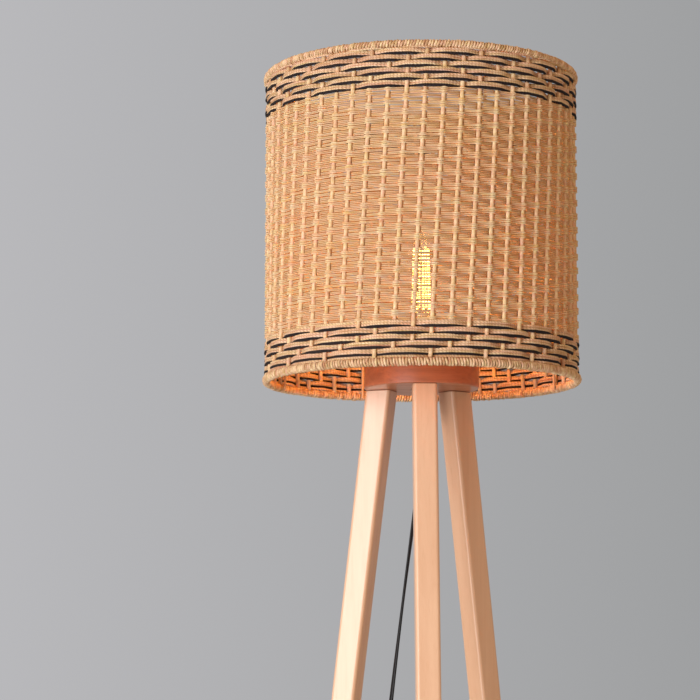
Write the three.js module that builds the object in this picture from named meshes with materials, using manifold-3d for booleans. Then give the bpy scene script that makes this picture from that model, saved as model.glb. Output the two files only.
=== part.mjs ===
// Rattan floor lamp: a woven drum shade on a beech tripod, lit by one filament bulb.
// Millimetres, +Z up. The origin is on the floor, under the middle of the standing lamp's box.
import * as THREE from "three";
import { mergeVertices } from "three/addons/utils/BufferGeometryUtils.js";
import Module from "manifold-3d";

const wasm = await Module();
wasm.setup();

// Driving dimensions of the whole lamp
const overall_height = 1500;
const shade_height = 315.7;
const shade_radius = 158.5;
const foot_circle_radius = 190;
const seat_gap = 0.3;
const cut_overrun = 4;

// Facet counts
const ring_facets = 54;
const hub_facets = 48;
const turned_facets = 24;
const small_facets = 16;
const pin_facets = 12;
const wire_facets = 6;
const corner_steps = 3;
const edge_steps = 2;
const merge_distance = 1e-4;

// Shade rims: a wire ring inside a lashing
const rim_inset = 3.2;
const rim_wire_radius = 2;
const lashing_radius = 4.6;
const lashing_mouth_angle = 0.5;
const lashing_outer_steps = 7;
const lashing_inner_steps = 4;
const rim_wire_sides = 5;

// Woven wall and its two bands
const lower_band_top = 39.5;
const upper_band_depth = 42.5;
const weave_opening_every = 3;
const weave_opening_rows = 5;
const weave_opening_width_share = 0.72;
const weave_opening_height_share = 0.62;

// Frame wires behind the weave
const upright_radius = 1.3;
const upright_count = 8;
const upright_turn = 15;
const upright_end_gap = 1.5;

// Carrier that hangs the shade on the lampholder
const carrier_thickness = 1.6;
const carrier_outer_radius = 31;
const carrier_arm_radius = 2;
const carrier_arm_every = 2;

// Hub disc
const hub_radius = 57.5;
const hub_thickness = 28;
const hub_edge = 2;
const hub_drop = 8.5;
const hub_socket_depth = 10;

// Legs
const leg_sides = ["front", "right", "left"];
const leg_angles = [-96, 30, 150];
const leg_top_radius = 43;
const leg_top_width = 24;
const leg_top_depth = 26.5;
const leg_foot_width = 22.5;
const leg_foot_depth = 20;
const leg_edge_radius = 3;

// What holds a leg to the hub
const screw_radius = 2.5;
const screw_head_radius = 5.5;
const screw_head_height = 3;
const screw_bite = 42;
const screw_inset = 5;
const dowel_radius = 3;
const dowel_length = 30;
const dowel_offset = 7;

// Foot pads
const pad_radius = 8;
const pad_thickness = 3;

// Threaded tube through the hub, with its washer and nut
const nipple_radius = 5;
const nipple_bore_radius = 3.4;
const nipple_drop = 13;
const washer_radius = 11;
const washer_thickness = 1.5;
const nut_radius = 8.5;
const nut_height = 4;

// Lampholder
const cup_radius = 18;
const cup_wall = 2.5;
const cup_height = 19;
const sleeve_radius = 19.3;
const sleeve_bore_radius = 14.8;
const sleeve_height = 27.5;
const flange_radius = 23;
const flange_start = 3;
const flange_thickness = 3;
const block_height = 8;
const block_lift = 2;
const block_channel_height = 2;
const block_channel_lift = 2;
const shell_wall = 0.6;
const shell_height = 24;
const contact_width = 7;
const contact_reach = 8;
const contact_thickness = 0.8;

// Shade clamp ring
const clamp_radius = 27.5;
const clamp_height = 8;
const clamp_rib_depth = 1.2;
const clamp_rib_count = 18;

// Bulb
const bulb_length = 142;
const bulb_radius = 32;
const bulb_dome_height = 38;
const bulb_dome_steps = 7;
const glass_wall = 1;
const cap_radius = 13.1;
const cap_wall = 0.5;
const cap_height = 22;
const thread_pitch = 3.629;
const thread_depth = 0.7;
const thread_height_share = 0.75;
const insulator_height = 4.5;
const tip_radius = 4.8;
const tip_height = 1.5;
const stem_foot_radius = 11;
const stem_radius = 4;
const stem_height = 30;
const stem_shoulder = 7.5;
const filament_radius = 0.9;
const filament_length = 64;
const filament_count = 4;
const filament_low_radius = 8.5;
const filament_high_radius = 6.5;
const filament_lift = 20;
const support_wire_radius = 0.4;

// Mains cord and its gland
const cord_radius = 2.6;
const cord_sides = 8;
const drop_steps = 76;
const lead_steps = 6;
const tail_steps = 10;
const cord_bore_gap = 0.5;
const gland_length = 28;
const gland_top_radius = 7.5;
const gland_tip_radius = 4.4;
const gland_thread_depth = 9;

// Foot switch
const switch_length = 82;
const switch_width = 44;
const switch_height = 22;
const switch_corner = 14;
const switch_wall = 2.5;
const switch_edge = 4;
const switch_base_height = 7;
const switch_place = { x: -40, y: -66 };
const button_radius = 15;
const button_rise = 5;
const button_dome = 1.5;
const button_travel = 4;
const button_flange = 2;
const button_crown_share = 0.8;
const button_slack = 0.5;
const plunger_radius = 3;
const plunger_length = 8.5;
const contact_block_length = 24;
const contact_block_width = 18;
const contact_block_height = 8;
const contact_block_corner = 1;
const switch_screw_radius = 1.5;
const switch_screw_head_radius = 2.8;
const switch_screw_length = 13;
const switch_post_radius = 4;
const switch_post_place = { x: 29, y: 12 };
const relief_length = 22;
const relief_wall_radius = 5;
const relief_tip_radius = 3.6;
const relief_height = 11.5;

// Cord coil and its tie
const coil_turn_radius = 38;
const coil_pitch = 6;
const coil_layer_turns = 2.5;
const coil_climb_turns = 0.5;
const coil_start_angle = -90;
const coil_steps_per_turn = 24;
const coil_sides = 6;
const coil_place = { x: 70, y: -28 };
const tie_thickness = 0.9;
const tie_width = 12;
const tie_angle = 200;

// Plug
const plug_length = 36;
const plug_width = 26;
const plug_thickness = 13.8;
const plug_corner = 5;
const plug_edge = 1.5;
const plug_relief_length = 24;
const plug_relief_radius = 5;
const pin_radius = 2;
const pin_length = 19;
const pin_spacing = 18.6;
const pin_socket = 6;
const plug_turn = 150;
const plug_place = { x: -2, y: 43 };

// Places that follow from the sizes, from the floor up
const rim_radius = shade_radius - rim_inset;
const bottom_rim_z = overall_height - shade_height + lashing_radius;
const top_rim_z = overall_height - lashing_radius;
const hub_bottom_z = bottom_rim_z - hub_drop;
const hub_top_z = hub_bottom_z + hub_thickness;
const leg_top_z = hub_bottom_z - seat_gap;
const leg_bottom_z = pad_thickness + seat_gap;
const cup_bottom_z = hub_top_z - hub_socket_depth + seat_gap;
const cup_top_z = cup_bottom_z + cup_height;
const sleeve_bottom_z = cup_top_z + seat_gap;
const sleeve_top_z = sleeve_bottom_z + sleeve_height;
const flange_top_z = sleeve_bottom_z + flange_start + flange_thickness;
const carrier_bottom_z = flange_top_z + seat_gap;
const carrier_top_z = carrier_bottom_z + carrier_thickness;
const block_bottom_z = cup_bottom_z + cup_wall + block_lift;
const block_top_z = block_bottom_z + block_height;
const contact_top_z = block_top_z + seat_gap + contact_thickness;
const bulb_tip_z = contact_top_z + seat_gap;
const cap_bottom_z = bulb_tip_z + tip_height + insulator_height;
const cap_top_z = cap_bottom_z + cap_height;
const cord_exit_z = hub_bottom_z - washer_thickness - nut_height - gland_length - 3 * seat_gap;
const frame_inner_radius = rim_radius - lashing_radius;
const upright_place_radius = frame_inner_radius - seat_gap - upright_radius;
const coil_lift = tie_thickness + seat_gap;
const coil_low_z = cord_radius + coil_lift;
const coil_turns = 2 * coil_layer_turns + coil_climb_turns;

const beech = { color: 0xe6b78c, roughness: 0.45, metalness: 0 };
const hub_wood = { color: 0xb8663f, roughness: 0.5, metalness: 0 };
const rattan = { color: 0xd8ab7c, roughness: 0.75, metalness: 0 };
const banded_rattan = { color: 0xb48a66, roughness: 0.75, metalness: 0 };
const cane = { color: 0xe0b98f, roughness: 0.7, metalness: 0 };
const wire = { color: 0xc9a983, roughness: 0.5, metalness: 0.2 };
const steel = { color: 0xb4b4b2, roughness: 0.35, metalness: 1 };
const brass = { color: 0xc9a24e, roughness: 0.35, metalness: 1 };
const tin = { color: 0xc8c8c6, roughness: 0.3, metalness: 1 };
const black_plastic = { color: 0x17171a, roughness: 0.45, metalness: 0 };
const black_flex = { color: 0x121214, roughness: 0.5, metalness: 0 };
const felt = { color: 0x4a4038, roughness: 0.95, metalness: 0 };
const clear_glass = { color: 0xf6efe2, roughness: 0.05, metalness: 0, transparent: true, opacity: 0.3 };
const black_glass = { color: 0x101014, roughness: 0.2, metalness: 0 };
const phosphor = { color: 0xffc766, roughness: 0.6, metalness: 0 };

const standing = new THREE.Group();
const loose = new THREE.Group();
const lamp = new THREE.Group();
lamp.add(standing, loose);

// Geometry helpers

function add(parent, name, geometry, look) {
  const mesh = new THREE.Mesh(geometry, new THREE.MeshStandardMaterial(look));
  mesh.name = name;
  parent.add(mesh);
  return mesh;
}

function solid_of(geometry) {
  const bare = geometry.index ? geometry.toNonIndexed() : geometry.clone();
  bare.deleteAttribute("normal");
  bare.deleteAttribute("uv");
  const merged = mergeVertices(bare, merge_distance);
  return new wasm.Manifold(new wasm.Mesh({
    numProp: 3,
    vertProperties: new Float32Array(merged.attributes.position.array),
    triVerts: new Uint32Array(merged.index.array),
  }));
}

function geometry_of(solid) {
  const mesh = solid.getMesh();
  const geometry = new THREE.BufferGeometry();
  geometry.setAttribute("position", new THREE.BufferAttribute(new Float32Array(mesh.vertProperties), 3));
  geometry.setIndex(new THREE.BufferAttribute(new Uint32Array(mesh.triVerts), 1));
  geometry.computeVertexNormals();
  return geometry;
}

function cut(geometry, ...tools) {
  return geometry_of(tools.reduce((body, tool) => body.subtract(solid_of(tool)), solid_of(geometry)));
}

function join(geometry, ...others) {
  return geometry_of(others.reduce((body, other) => body.add(solid_of(other)), solid_of(geometry)));
}

// Turns a profile of [radius, height] pairs about the Z axis.
function turned(profile, facets = turned_facets) {
  const points = profile.map(([radius, height]) => new THREE.Vector2(radius, height));
  return new THREE.LatheGeometry(points, facets).rotateX(Math.PI / 2);
}

function round_bar(radius, low, high, facets = small_facets) {
  return turned([[0, low], [radius, low], [radius, high], [0, high]], facets);
}

function pipe(inner, outer, low, high, facets = turned_facets) {
  return turned([[inner, low], [outer, low], [outer, high], [inner, high], [inner, low]], facets);
}

function rounded_rectangle(width, depth, radius) {
  const shape = new THREE.Shape();
  const right = width / 2 - radius;
  const back = depth / 2 - radius;
  shape.absarc(right, back, radius, 0, Math.PI / 2);
  shape.absarc(-right, back, radius, Math.PI / 2, Math.PI);
  shape.absarc(-right, -back, radius, Math.PI, Math.PI * 1.5);
  shape.absarc(right, -back, radius, Math.PI * 1.5, Math.PI * 2);
  return shape;
}

function raised(shape, low, high) {
  const options = { depth: high - low, bevelEnabled: false, curveSegments: corner_steps };
  return new THREE.ExtrudeGeometry(shape, options).translate(0, 0, low);
}

function disc_shape(radius, sides) {
  const corners = Array.from({ length: sides }, (_, i) => {
    const angle = (i + 0.5) * 2 * Math.PI / sides;
    return new THREE.Vector2(radius * Math.cos(angle), radius * Math.sin(angle));
  });
  return new THREE.Shape(corners);
}

function tube(curve, radius, sides, steps) {
  const options = { extrudePath: curve, steps, bevelEnabled: false };
  return new THREE.ExtrudeGeometry(disc_shape(radius, sides), options);
}

function straight_wire(from, to, radius, sides = wire_facets) {
  return tube(new THREE.LineCurve3(from, to), radius, sides, 1);
}

function polar(radius, degrees, z = 0) {
  const angle = THREE.MathUtils.degToRad(degrees);
  return new THREE.Vector3(radius * Math.cos(angle), radius * Math.sin(angle), z);
}

// Stand

function leg_centre_radius(z) {
  const slope = (foot_circle_radius - leg_top_radius) / hub_bottom_z;
  return leg_top_radius + slope * (hub_bottom_z - z);
}

// A leg is drawn upright, then narrowed to its foot and leaned outwards along +X.
function leg_geometry() {
  const shape = rounded_rectangle(leg_top_depth, leg_top_width, leg_edge_radius);
  const geometry = raised(shape, leg_bottom_z, leg_top_z);
  const position = geometry.attributes.position;
  for (let i = 0; i < position.count; i += 1) {
    const z = position.getZ(i);
    const share = (hub_bottom_z - z) / hub_bottom_z;
    const depth = THREE.MathUtils.lerp(1, leg_foot_depth / leg_top_depth, share);
    const width = THREE.MathUtils.lerp(1, leg_foot_width / leg_top_width, share);
    position.setXYZ(i, position.getX(i) * depth + leg_centre_radius(z), position.getY(i) * width, z);
  }
  const screw_hole = round_bar(
    screw_radius + seat_gap, leg_top_z - screw_bite - seat_gap, leg_top_z + cut_overrun, pin_facets,
  ).translate(leg_top_radius - screw_inset, 0, 0);
  const dowel_hole = round_bar(
    dowel_radius + seat_gap, leg_top_z - dowel_length / 2 - seat_gap, leg_top_z + cut_overrun, pin_facets,
  ).translate(leg_top_radius + dowel_offset, 0, 0);
  return cut(geometry, screw_hole, dowel_hole);
}

function leg_screw_geometry(growth = 0) {
  const top = hub_top_z - seat_gap + growth;
  const tip = leg_top_z - screw_bite;
  return turned([
    [0, tip - growth], [screw_radius + growth, tip - growth],
    [screw_radius + growth, top - screw_head_height],
    [screw_head_radius + growth, top], [0, top],
  ], pin_facets);
}

function build_legs() {
  leg_sides.forEach((side, index) => {
    const turn = new THREE.Group();
    turn.rotation.z = THREE.MathUtils.degToRad(leg_angles[index]);
    standing.add(turn);
    add(turn, `leg_${side}`, leg_geometry(), beech);
    const screw = add(turn, `leg_screw_${side}`, leg_screw_geometry(), steel);
    screw.position.x = leg_top_radius - screw_inset;
    const dowel_low = hub_bottom_z - dowel_length / 2;
    const dowel = round_bar(dowel_radius, dowel_low, dowel_low + dowel_length, pin_facets);
    add(turn, `dowel_${side}`, dowel, beech).position.x = leg_top_radius + dowel_offset;
    const pad = add(turn, `foot_pad_${side}`, round_bar(pad_radius, 0, pad_thickness, small_facets), felt);
    pad.position.x = leg_centre_radius(0);
  });
}

function build_hub() {
  const disc = turned([
    [0, hub_bottom_z], [hub_radius - hub_edge, hub_bottom_z], [hub_radius, hub_bottom_z + hub_edge],
    [hub_radius, hub_top_z - hub_edge], [hub_radius - hub_edge, hub_top_z], [0, hub_top_z],
  ], hub_facets);
  const socket_low = hub_top_z - hub_socket_depth;
  const tools = [
    round_bar(nipple_radius + seat_gap, hub_bottom_z - cut_overrun, hub_top_z + cut_overrun),
    round_bar(cup_radius + 2 * seat_gap, socket_low, hub_top_z + cut_overrun, turned_facets),
  ];
  for (let i = 0; i < leg_sides.length; i += 1) {
    const angle = leg_angles[i];
    const screw_place = polar(leg_top_radius - screw_inset, angle);
    const dowel_place = polar(leg_top_radius + dowel_offset, angle);
    const head_mouth = round_bar(
      screw_head_radius + seat_gap, hub_top_z - seat_gap, hub_top_z + cut_overrun, pin_facets,
    );
    const dowel_hole = round_bar(
      dowel_radius + seat_gap, hub_bottom_z - cut_overrun,
      hub_bottom_z + dowel_length / 2 + seat_gap, pin_facets,
    );
    const turn = THREE.MathUtils.degToRad(angle);
    const screw_hole = leg_screw_geometry(seat_gap).rotateZ(turn);
    tools.push(screw_hole.translate(screw_place.x, screw_place.y, 0));
    tools.push(head_mouth.rotateZ(turn).translate(screw_place.x, screw_place.y, 0));
    tools.push(dowel_hole.rotateZ(turn).translate(dowel_place.x, dowel_place.y, 0));
  }
  add(standing, "hub_disc", cut(disc, ...tools), hub_wood);
}

function build_mains_path() {
  const washer_top = hub_bottom_z - seat_gap;
  const washer_low = washer_top - washer_thickness;
  const nut_top = washer_low - seat_gap;
  const nut_low = nut_top - nut_height;
  const gland_top = nut_low - seat_gap;
  const gland_low = gland_top - gland_length;
  const bore = nipple_radius + seat_gap;
  const nipple_low = hub_bottom_z - nipple_drop;
  const nipple_top = cup_bottom_z + cup_wall + seat_gap;
  const nipple = pipe(nipple_bore_radius, nipple_radius, nipple_low, nipple_top, small_facets);
  add(standing, "nipple", nipple, steel);
  add(standing, "nipple_washer", pipe(bore, washer_radius, washer_low, washer_top, small_facets), steel);
  const hexagon = disc_shape(nut_radius, wire_facets);
  const nut = cut(
    raised(hexagon, nut_low, nut_top),
    round_bar(bore, nut_low - cut_overrun, nut_top + cut_overrun),
  );
  add(standing, "nipple_nut", nut, steel);
  const neck = cord_radius + cord_bore_gap;
  const socket_low = gland_top - gland_thread_depth;
  const gland = turned([
    [neck, gland_low], [gland_tip_radius, gland_low], [gland_top_radius, socket_low],
    [gland_top_radius, gland_top], [bore, gland_top], [bore, socket_low], [neck, socket_low],
    [neck, gland_low],
  ], small_facets);
  add(standing, "cord_gland", gland, black_plastic);
  const inner_cord = round_bar(cord_radius, gland_low, nipple_top, cord_sides);
  add(standing, "inner_cord", inner_cord, black_flex);
}

// Lampholder

function build_lampholder() {
  const cup_inner = cup_radius - cup_wall;
  const cup_floor = cup_bottom_z + cup_wall;
  const bore = nipple_radius + seat_gap;
  const cup = turned([
    [bore, cup_bottom_z], [cup_radius - cup_wall, cup_bottom_z], [cup_radius, cup_bottom_z + cup_wall],
    [cup_radius, cup_top_z], [cup_inner, cup_top_z], [cup_inner, cup_floor], [bore, cup_floor],
    [bore, cup_bottom_z],
  ]);
  add(standing, "lampholder_cup", cup, black_plastic);

  const flange_low = sleeve_bottom_z + flange_start;
  const sleeve = turned([
    [sleeve_bore_radius, sleeve_bottom_z], [sleeve_radius, sleeve_bottom_z], [sleeve_radius, flange_low],
    [flange_radius, flange_low], [flange_radius, flange_top_z], [sleeve_radius, flange_top_z],
    [sleeve_radius, sleeve_top_z], [sleeve_bore_radius, sleeve_top_z],
    [sleeve_bore_radius, sleeve_bottom_z],
  ]);
  add(standing, "lampholder_sleeve", sleeve, black_plastic);

  const block_radius = sleeve_bore_radius - seat_gap;
  const passage = nipple_radius + seat_gap;
  const channel_low = block_bottom_z + block_channel_lift;
  const channel_high = channel_low + block_channel_height;
  const block = cut(
    round_bar(block_radius, block_bottom_z, block_top_z),
    round_bar(cord_radius, block_bottom_z - cut_overrun, channel_high, pin_facets),
    round_bar(cord_radius, channel_low, block_top_z + cut_overrun, pin_facets).translate(passage, 0, 0),
    new THREE.BoxGeometry(passage, cord_radius, block_channel_height).translate(
      passage / 2, 0, (channel_low + channel_high) / 2,
    ),
  );
  add(standing, "lampholder_block", block, felt);

  const shell_outer = sleeve_bore_radius - seat_gap;
  const shell_low = block_top_z + seat_gap;
  const shell = pipe(shell_outer - shell_wall, shell_outer, shell_low, shell_low + shell_height);
  add(standing, "lampholder_shell", shell, brass);

  const contact_low = block_top_z + seat_gap;
  const contact = new THREE.BoxGeometry(contact_reach, contact_width, contact_thickness);
  contact.translate(0, 0, contact_low + contact_thickness / 2);
  add(standing, "lampholder_contact", contact, brass);
}

function ribbed_outline(radius, depth, ribs) {
  const shares = [0, 0, 1, 1];
  const corners = [];
  for (let i = 0; i < ribs * shares.length; i += 1) {
    const angle = i * 2 * Math.PI / (ribs * shares.length);
    const reach = radius - depth * shares[i % shares.length];
    corners.push(new THREE.Vector2(reach * Math.cos(angle), reach * Math.sin(angle)));
  }
  return new THREE.Shape(corners);
}

function build_clamp_ring() {
  const low = carrier_top_z + seat_gap;
  const high = low + clamp_height;
  const ring = cut(
    raised(ribbed_outline(clamp_radius, clamp_rib_depth, clamp_rib_count), low, high),
    round_bar(sleeve_radius + seat_gap, low - cut_overrun, high + cut_overrun, turned_facets),
  );
  add(standing, "shade_clamp_ring", ring, black_plastic);
}

// Bulb

// Half the glass in section, from its neck up through the widest turn to the middle of its round top.
function bulb_outline(wall) {
  const neck_z = cap_top_z + seat_gap;
  const top_z = bulb_tip_z + bulb_length - wall;
  const widest_z = bulb_tip_z + bulb_length - bulb_dome_height;
  const widest = bulb_radius - wall;
  const neck = cap_radius - seat_gap - wall;
  const height_shares = [0, 0.1, 0.25, 0.45, 0.65, 0.85];
  const swell_shares = [0, 0.05, 0.22, 0.53, 0.81, 0.97];
  const points = height_shares.map((share, i) => [
    THREE.MathUtils.lerp(neck, widest, swell_shares[i]), THREE.MathUtils.lerp(neck_z, widest_z, share),
  ]);
  for (let i = 0; i <= bulb_dome_steps; i += 1) {
    const angle = i / bulb_dome_steps * Math.PI / 2;
    const reach = i === bulb_dome_steps ? 0 : widest * Math.cos(angle);
    points.push([reach, THREE.MathUtils.lerp(widest_z, top_z, Math.sin(angle))]);
  }
  return points;
}

function build_bulb() {
  const outside = bulb_outline(0);
  const inside = bulb_outline(glass_wall).reverse();
  add(standing, "bulb_glass", turned([...inside, ...outside]), clear_glass);

  const ridges = Math.floor(cap_height * thread_height_share / thread_pitch);
  const outer = [[cap_radius - thread_depth, cap_bottom_z]];
  for (let i = 0; i < ridges; i += 1) {
    const start = cap_bottom_z + i * thread_pitch;
    outer.push([cap_radius, start + thread_pitch / 2], [cap_radius - thread_depth, start + thread_pitch]);
  }
  const bore = cap_radius - thread_depth - cap_wall;
  const inner = [[cap_radius, cap_top_z], [bore, cap_top_z], [bore, cap_bottom_z]];
  const cap = turned([...outer, ...inner, outer[0]]);
  add(standing, "bulb_cap", cap, tin);

  const insulator_top = cap_bottom_z - seat_gap;
  const insulator_low = bulb_tip_z + tip_height;
  add(standing, "bulb_insulator", turned([
    [0, insulator_low], [tip_radius, insulator_low], [cap_radius - thread_depth, insulator_top],
    [0, insulator_top],
  ]), black_glass);
  add(standing, "bulb_tip", turned([
    [0, bulb_tip_z], [tip_radius / 2, bulb_tip_z], [tip_radius, insulator_low - seat_gap],
    [0, insulator_low - seat_gap],
  ], small_facets), tin);

  const stem_low = cap_bottom_z + seat_gap;
  const stem_top = stem_low + stem_height;
  add(standing, "bulb_stem", turned([
    [0, stem_low], [stem_foot_radius, stem_low], [stem_foot_radius, stem_low + stem_shoulder],
    [stem_radius, stem_top - stem_shoulder], [stem_radius / 2, stem_top], [0, stem_top],
  ], small_facets), clear_glass);

  const low = cap_top_z + filament_lift;
  const high = low + filament_length;
  const post_foot = new THREE.Vector3(0, 0, stem_top + seat_gap);
  const hub_high = new THREE.Vector3(0, 0, high);
  const post = straight_wire(post_foot, hub_high, support_wire_radius);
  const rods = [];
  for (let i = 0; i < filament_count; i += 1) {
    const angle = (i + 0.5) * 360 / filament_count;
    const foot = polar(filament_low_radius, angle, low);
    const head = polar(filament_high_radius, angle, high);
    const along = head.clone().sub(foot).normalize().multiplyScalar(support_wire_radius);
    rods.push(straight_wire(foot, head, filament_radius));
    rods.push(straight_wire(hub_high.clone().sub(along), head.clone().sub(along), support_wire_radius));
  }
  add(standing, "bulb_filaments", join(post, ...rods), phosphor);
}

// Shade

function rim_point(centre_z, reach, angle) {
  return [rim_radius + reach * Math.cos(angle), centre_z + reach * Math.sin(angle)];
}

// A lashing is a C in section, open on its wall side, round the wire ring.
function lashing(centre_z, wall_direction) {
  const inner = rim_wire_radius + seat_gap;
  const middle = wall_direction * Math.PI / 2;
  const start = middle + lashing_mouth_angle;
  const sweep = 2 * Math.PI - 2 * lashing_mouth_angle;
  const points = [];
  for (let i = 0; i <= lashing_outer_steps; i += 1) {
    points.push(rim_point(centre_z, lashing_radius, start + sweep * i / lashing_outer_steps));
  }
  const reach = inner / Math.cos(sweep / lashing_inner_steps / 2);
  for (let i = lashing_inner_steps; i >= 0; i -= 1) {
    points.push(rim_point(centre_z, reach, start + sweep * i / lashing_inner_steps));
  }
  points.push(points[0]);
  return turned(points, ring_facets);
}

function wire_ring(centre_z) {
  const points = [];
  for (let i = 0; i <= rim_wire_sides; i += 1) {
    points.push(rim_point(centre_z, rim_wire_radius, i * 2 * Math.PI / rim_wire_sides));
  }
  return turned(points, ring_facets);
}

// Tools that open the woven wall as a plain grid, each opening in the middle of one facet.
function weave_openings(low, high) {
  const facet_angle = 360 / ring_facets;
  const facet_width = 2 * frame_inner_radius * Math.sin(THREE.MathUtils.degToRad(facet_angle / 2));
  const pitch = (high - low) / weave_opening_rows;
  const depth = shade_radius - frame_inner_radius + 2 * cut_overrun;
  const tools = [];
  for (let facet = 0; facet < ring_facets; facet += weave_opening_every) {
    const direction = (facet + 0.5) * facet_angle - 90;
    for (let row = 0; row < weave_opening_rows; row += 1) {
      const tool = new THREE.BoxGeometry(
        depth, facet_width * weave_opening_width_share, pitch * weave_opening_height_share,
      );
      tool.translate((frame_inner_radius + shade_radius) / 2, 0, low + pitch * (row + 0.5));
      tools.push(tool.rotateZ(THREE.MathUtils.degToRad(direction)));
    }
  }
  return tools;
}

function build_shade() {
  const wall_low = bottom_rim_z + lashing_radius + seat_gap;
  const wall_high = top_rim_z - lashing_radius - seat_gap;
  const lower_split = bottom_rim_z + lower_band_top;
  const upper_split = top_rim_z - upper_band_depth;
  const wall = (low, high) => pipe(frame_inner_radius, shade_radius, low, high, ring_facets);
  add(standing, "lower_band", wall(wall_low, lower_split), banded_rattan);
  const weave_low = lower_split + seat_gap;
  const woven = cut(wall(weave_low, upper_split), ...weave_openings(weave_low, upper_split));
  add(standing, "woven_wall", woven, rattan);
  add(standing, "upper_band", wall(upper_split + seat_gap, wall_high), banded_rattan);
  add(standing, "lower_rim_lashing", lashing(bottom_rim_z, 1), cane);
  add(standing, "upper_rim_lashing", lashing(top_rim_z, -1), cane);
  add(standing, "lower_frame_ring", wire_ring(bottom_rim_z), wire);
  add(standing, "upper_frame_ring", wire_ring(top_rim_z), wire);

  const upright_low = bottom_rim_z - lashing_radius + upright_end_gap;
  const upright_high = top_rim_z + lashing_radius - upright_end_gap;
  const arm_z = carrier_bottom_z + carrier_thickness / 2;
  const welded = [];
  for (let i = 0; i < upright_count; i += 1) {
    const angle = upright_turn + i * 360 / upright_count;
    const foot = polar(upright_place_radius, angle, upright_low);
    const head = polar(upright_place_radius, angle, upright_high);
    const upright = straight_wire(foot, head, upright_radius);
    if (i % carrier_arm_every === 1) {
      const root = polar(carrier_outer_radius - carrier_arm_radius / 2, angle, arm_z);
      const tip = polar(upright_place_radius, angle, arm_z);
      welded.push(upright, straight_wire(root, tip, carrier_arm_radius));
    } else {
      add(standing, `frame_upright_${(i + carrier_arm_every) / carrier_arm_every}`, upright, wire);
    }
  }
  const plate = pipe(sleeve_radius + seat_gap, carrier_outer_radius, carrier_bottom_z, carrier_top_z);
  add(standing, "shade_carrier", join(plate, ...welded), wire);
}

// Foot switch

function build_switch() {
  const box = new THREE.Group();
  box.position.set(switch_place.x, switch_place.y, 0);
  loose.add(box);
  const outline = (inset) => rounded_rectangle(
    switch_length - 2 * inset, switch_width - 2 * inset, switch_corner - inset,
  );
  const cover_low = switch_base_height + seat_gap;
  const cover_inner_top = switch_height - switch_wall;
  const posts = [1, -1].map((side) => ({ x: side * switch_post_place.x, y: side * switch_post_place.y }));
  const post_low = switch_wall + seat_gap;

  const screw_holes = posts.map(({ x, y }) => turned([
    [0, -cut_overrun], [switch_screw_head_radius + seat_gap, -cut_overrun],
    [switch_screw_head_radius + seat_gap, seat_gap], [switch_screw_radius + seat_gap, switch_wall],
    [switch_screw_radius + seat_gap, switch_wall + cut_overrun], [0, switch_wall + cut_overrun],
  ], pin_facets).translate(x, y, 0));
  const base = cut(
    raised(outline(0), 0, switch_base_height),
    raised(outline(switch_wall), switch_wall, switch_base_height + cut_overrun),
    ...screw_holes,
  );
  add(box, "switch_base", base, black_plastic);

  const dome_options = {
    depth: switch_height - 2 * switch_edge, bevelEnabled: true, bevelThickness: switch_edge,
    bevelSize: switch_edge, bevelOffset: -switch_edge, bevelSegments: edge_steps,
    curveSegments: corner_steps,
  };
  const dome = new THREE.ExtrudeGeometry(outline(0), dome_options).translate(0, 0, switch_edge);
  const below_cover = new THREE.BoxGeometry(2 * switch_length, 2 * switch_width, cover_low);
  const cover_posts = posts.map(({ x, y }) => cut(
    round_bar(switch_post_radius, post_low, cover_inner_top + switch_wall / 2, pin_facets),
    round_bar(
      switch_screw_radius + seat_gap, post_low - cut_overrun, switch_screw_length + seat_gap, pin_facets,
    ),
  ).translate(x, y, 0));
  const cover_shell = cut(
    dome, below_cover.translate(0, 0, cover_low / 2),
    raised(outline(switch_wall + switch_edge / 4), cover_low - cut_overrun, cover_inner_top),
    round_bar(
      button_radius + button_slack, cover_inner_top - cut_overrun,
      switch_height + cut_overrun, turned_facets,
    ),
  );
  add(box, "switch_cover", join(cover_shell, ...cover_posts), black_plastic);

  posts.forEach(({ x, y }, i) => {
    const screw = turned([
      [0, seat_gap], [switch_screw_head_radius, seat_gap], [switch_screw_radius, switch_wall],
      [switch_screw_radius, switch_screw_length], [0, switch_screw_length],
    ], pin_facets);
    add(box, `switch_screw_${i + 1}`, screw, steel).position.set(x, y, 0);
  });

  const flange_top = cover_inner_top - seat_gap;
  const button_low = flange_top - button_flange;
  const button_top = switch_height + button_rise;
  add(box, "switch_button", turned([
    [0, button_low], [button_radius + switch_wall, button_low], [button_radius + switch_wall, flange_top],
    [button_radius, flange_top], [button_radius, button_top - button_dome],
    [button_radius * button_crown_share, button_top], [0, button_top],
  ]), black_plastic);

  const plunger_top = button_low - seat_gap;
  const plunger_low = plunger_top - plunger_length;
  add(box, "switch_plunger", round_bar(plunger_radius, plunger_low, plunger_top, pin_facets), felt);

  const block_low = switch_wall + seat_gap;
  const block_top = block_low + contact_block_height;
  const block_outline = rounded_rectangle(contact_block_length, contact_block_width, contact_block_corner);
  const plunger_hole_low = plunger_low - button_travel - seat_gap;
  const block = cut(
    raised(block_outline, block_low, block_top),
    round_bar(plunger_radius + button_slack, plunger_hole_low, block_top + cut_overrun, pin_facets),
  );
  add(box, "switch_contact_block", block, felt);

  for (const [name, side] of [["switch_relief_in", -1], ["switch_relief_out", 1]]) {
    const relief = turned([
      [0, 0], [relief_wall_radius, 0], [relief_tip_radius, relief_length], [0, relief_length],
    ], small_facets);
    relief.rotateY(side * Math.PI / 2).translate(side * (switch_length / 2 + seat_gap), 0, relief_height);
    add(box, name, relief, black_plastic);
  }
}

// Cord route points: places are offsets from the lamp's axis, chosen by hand, in millimetres.

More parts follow.
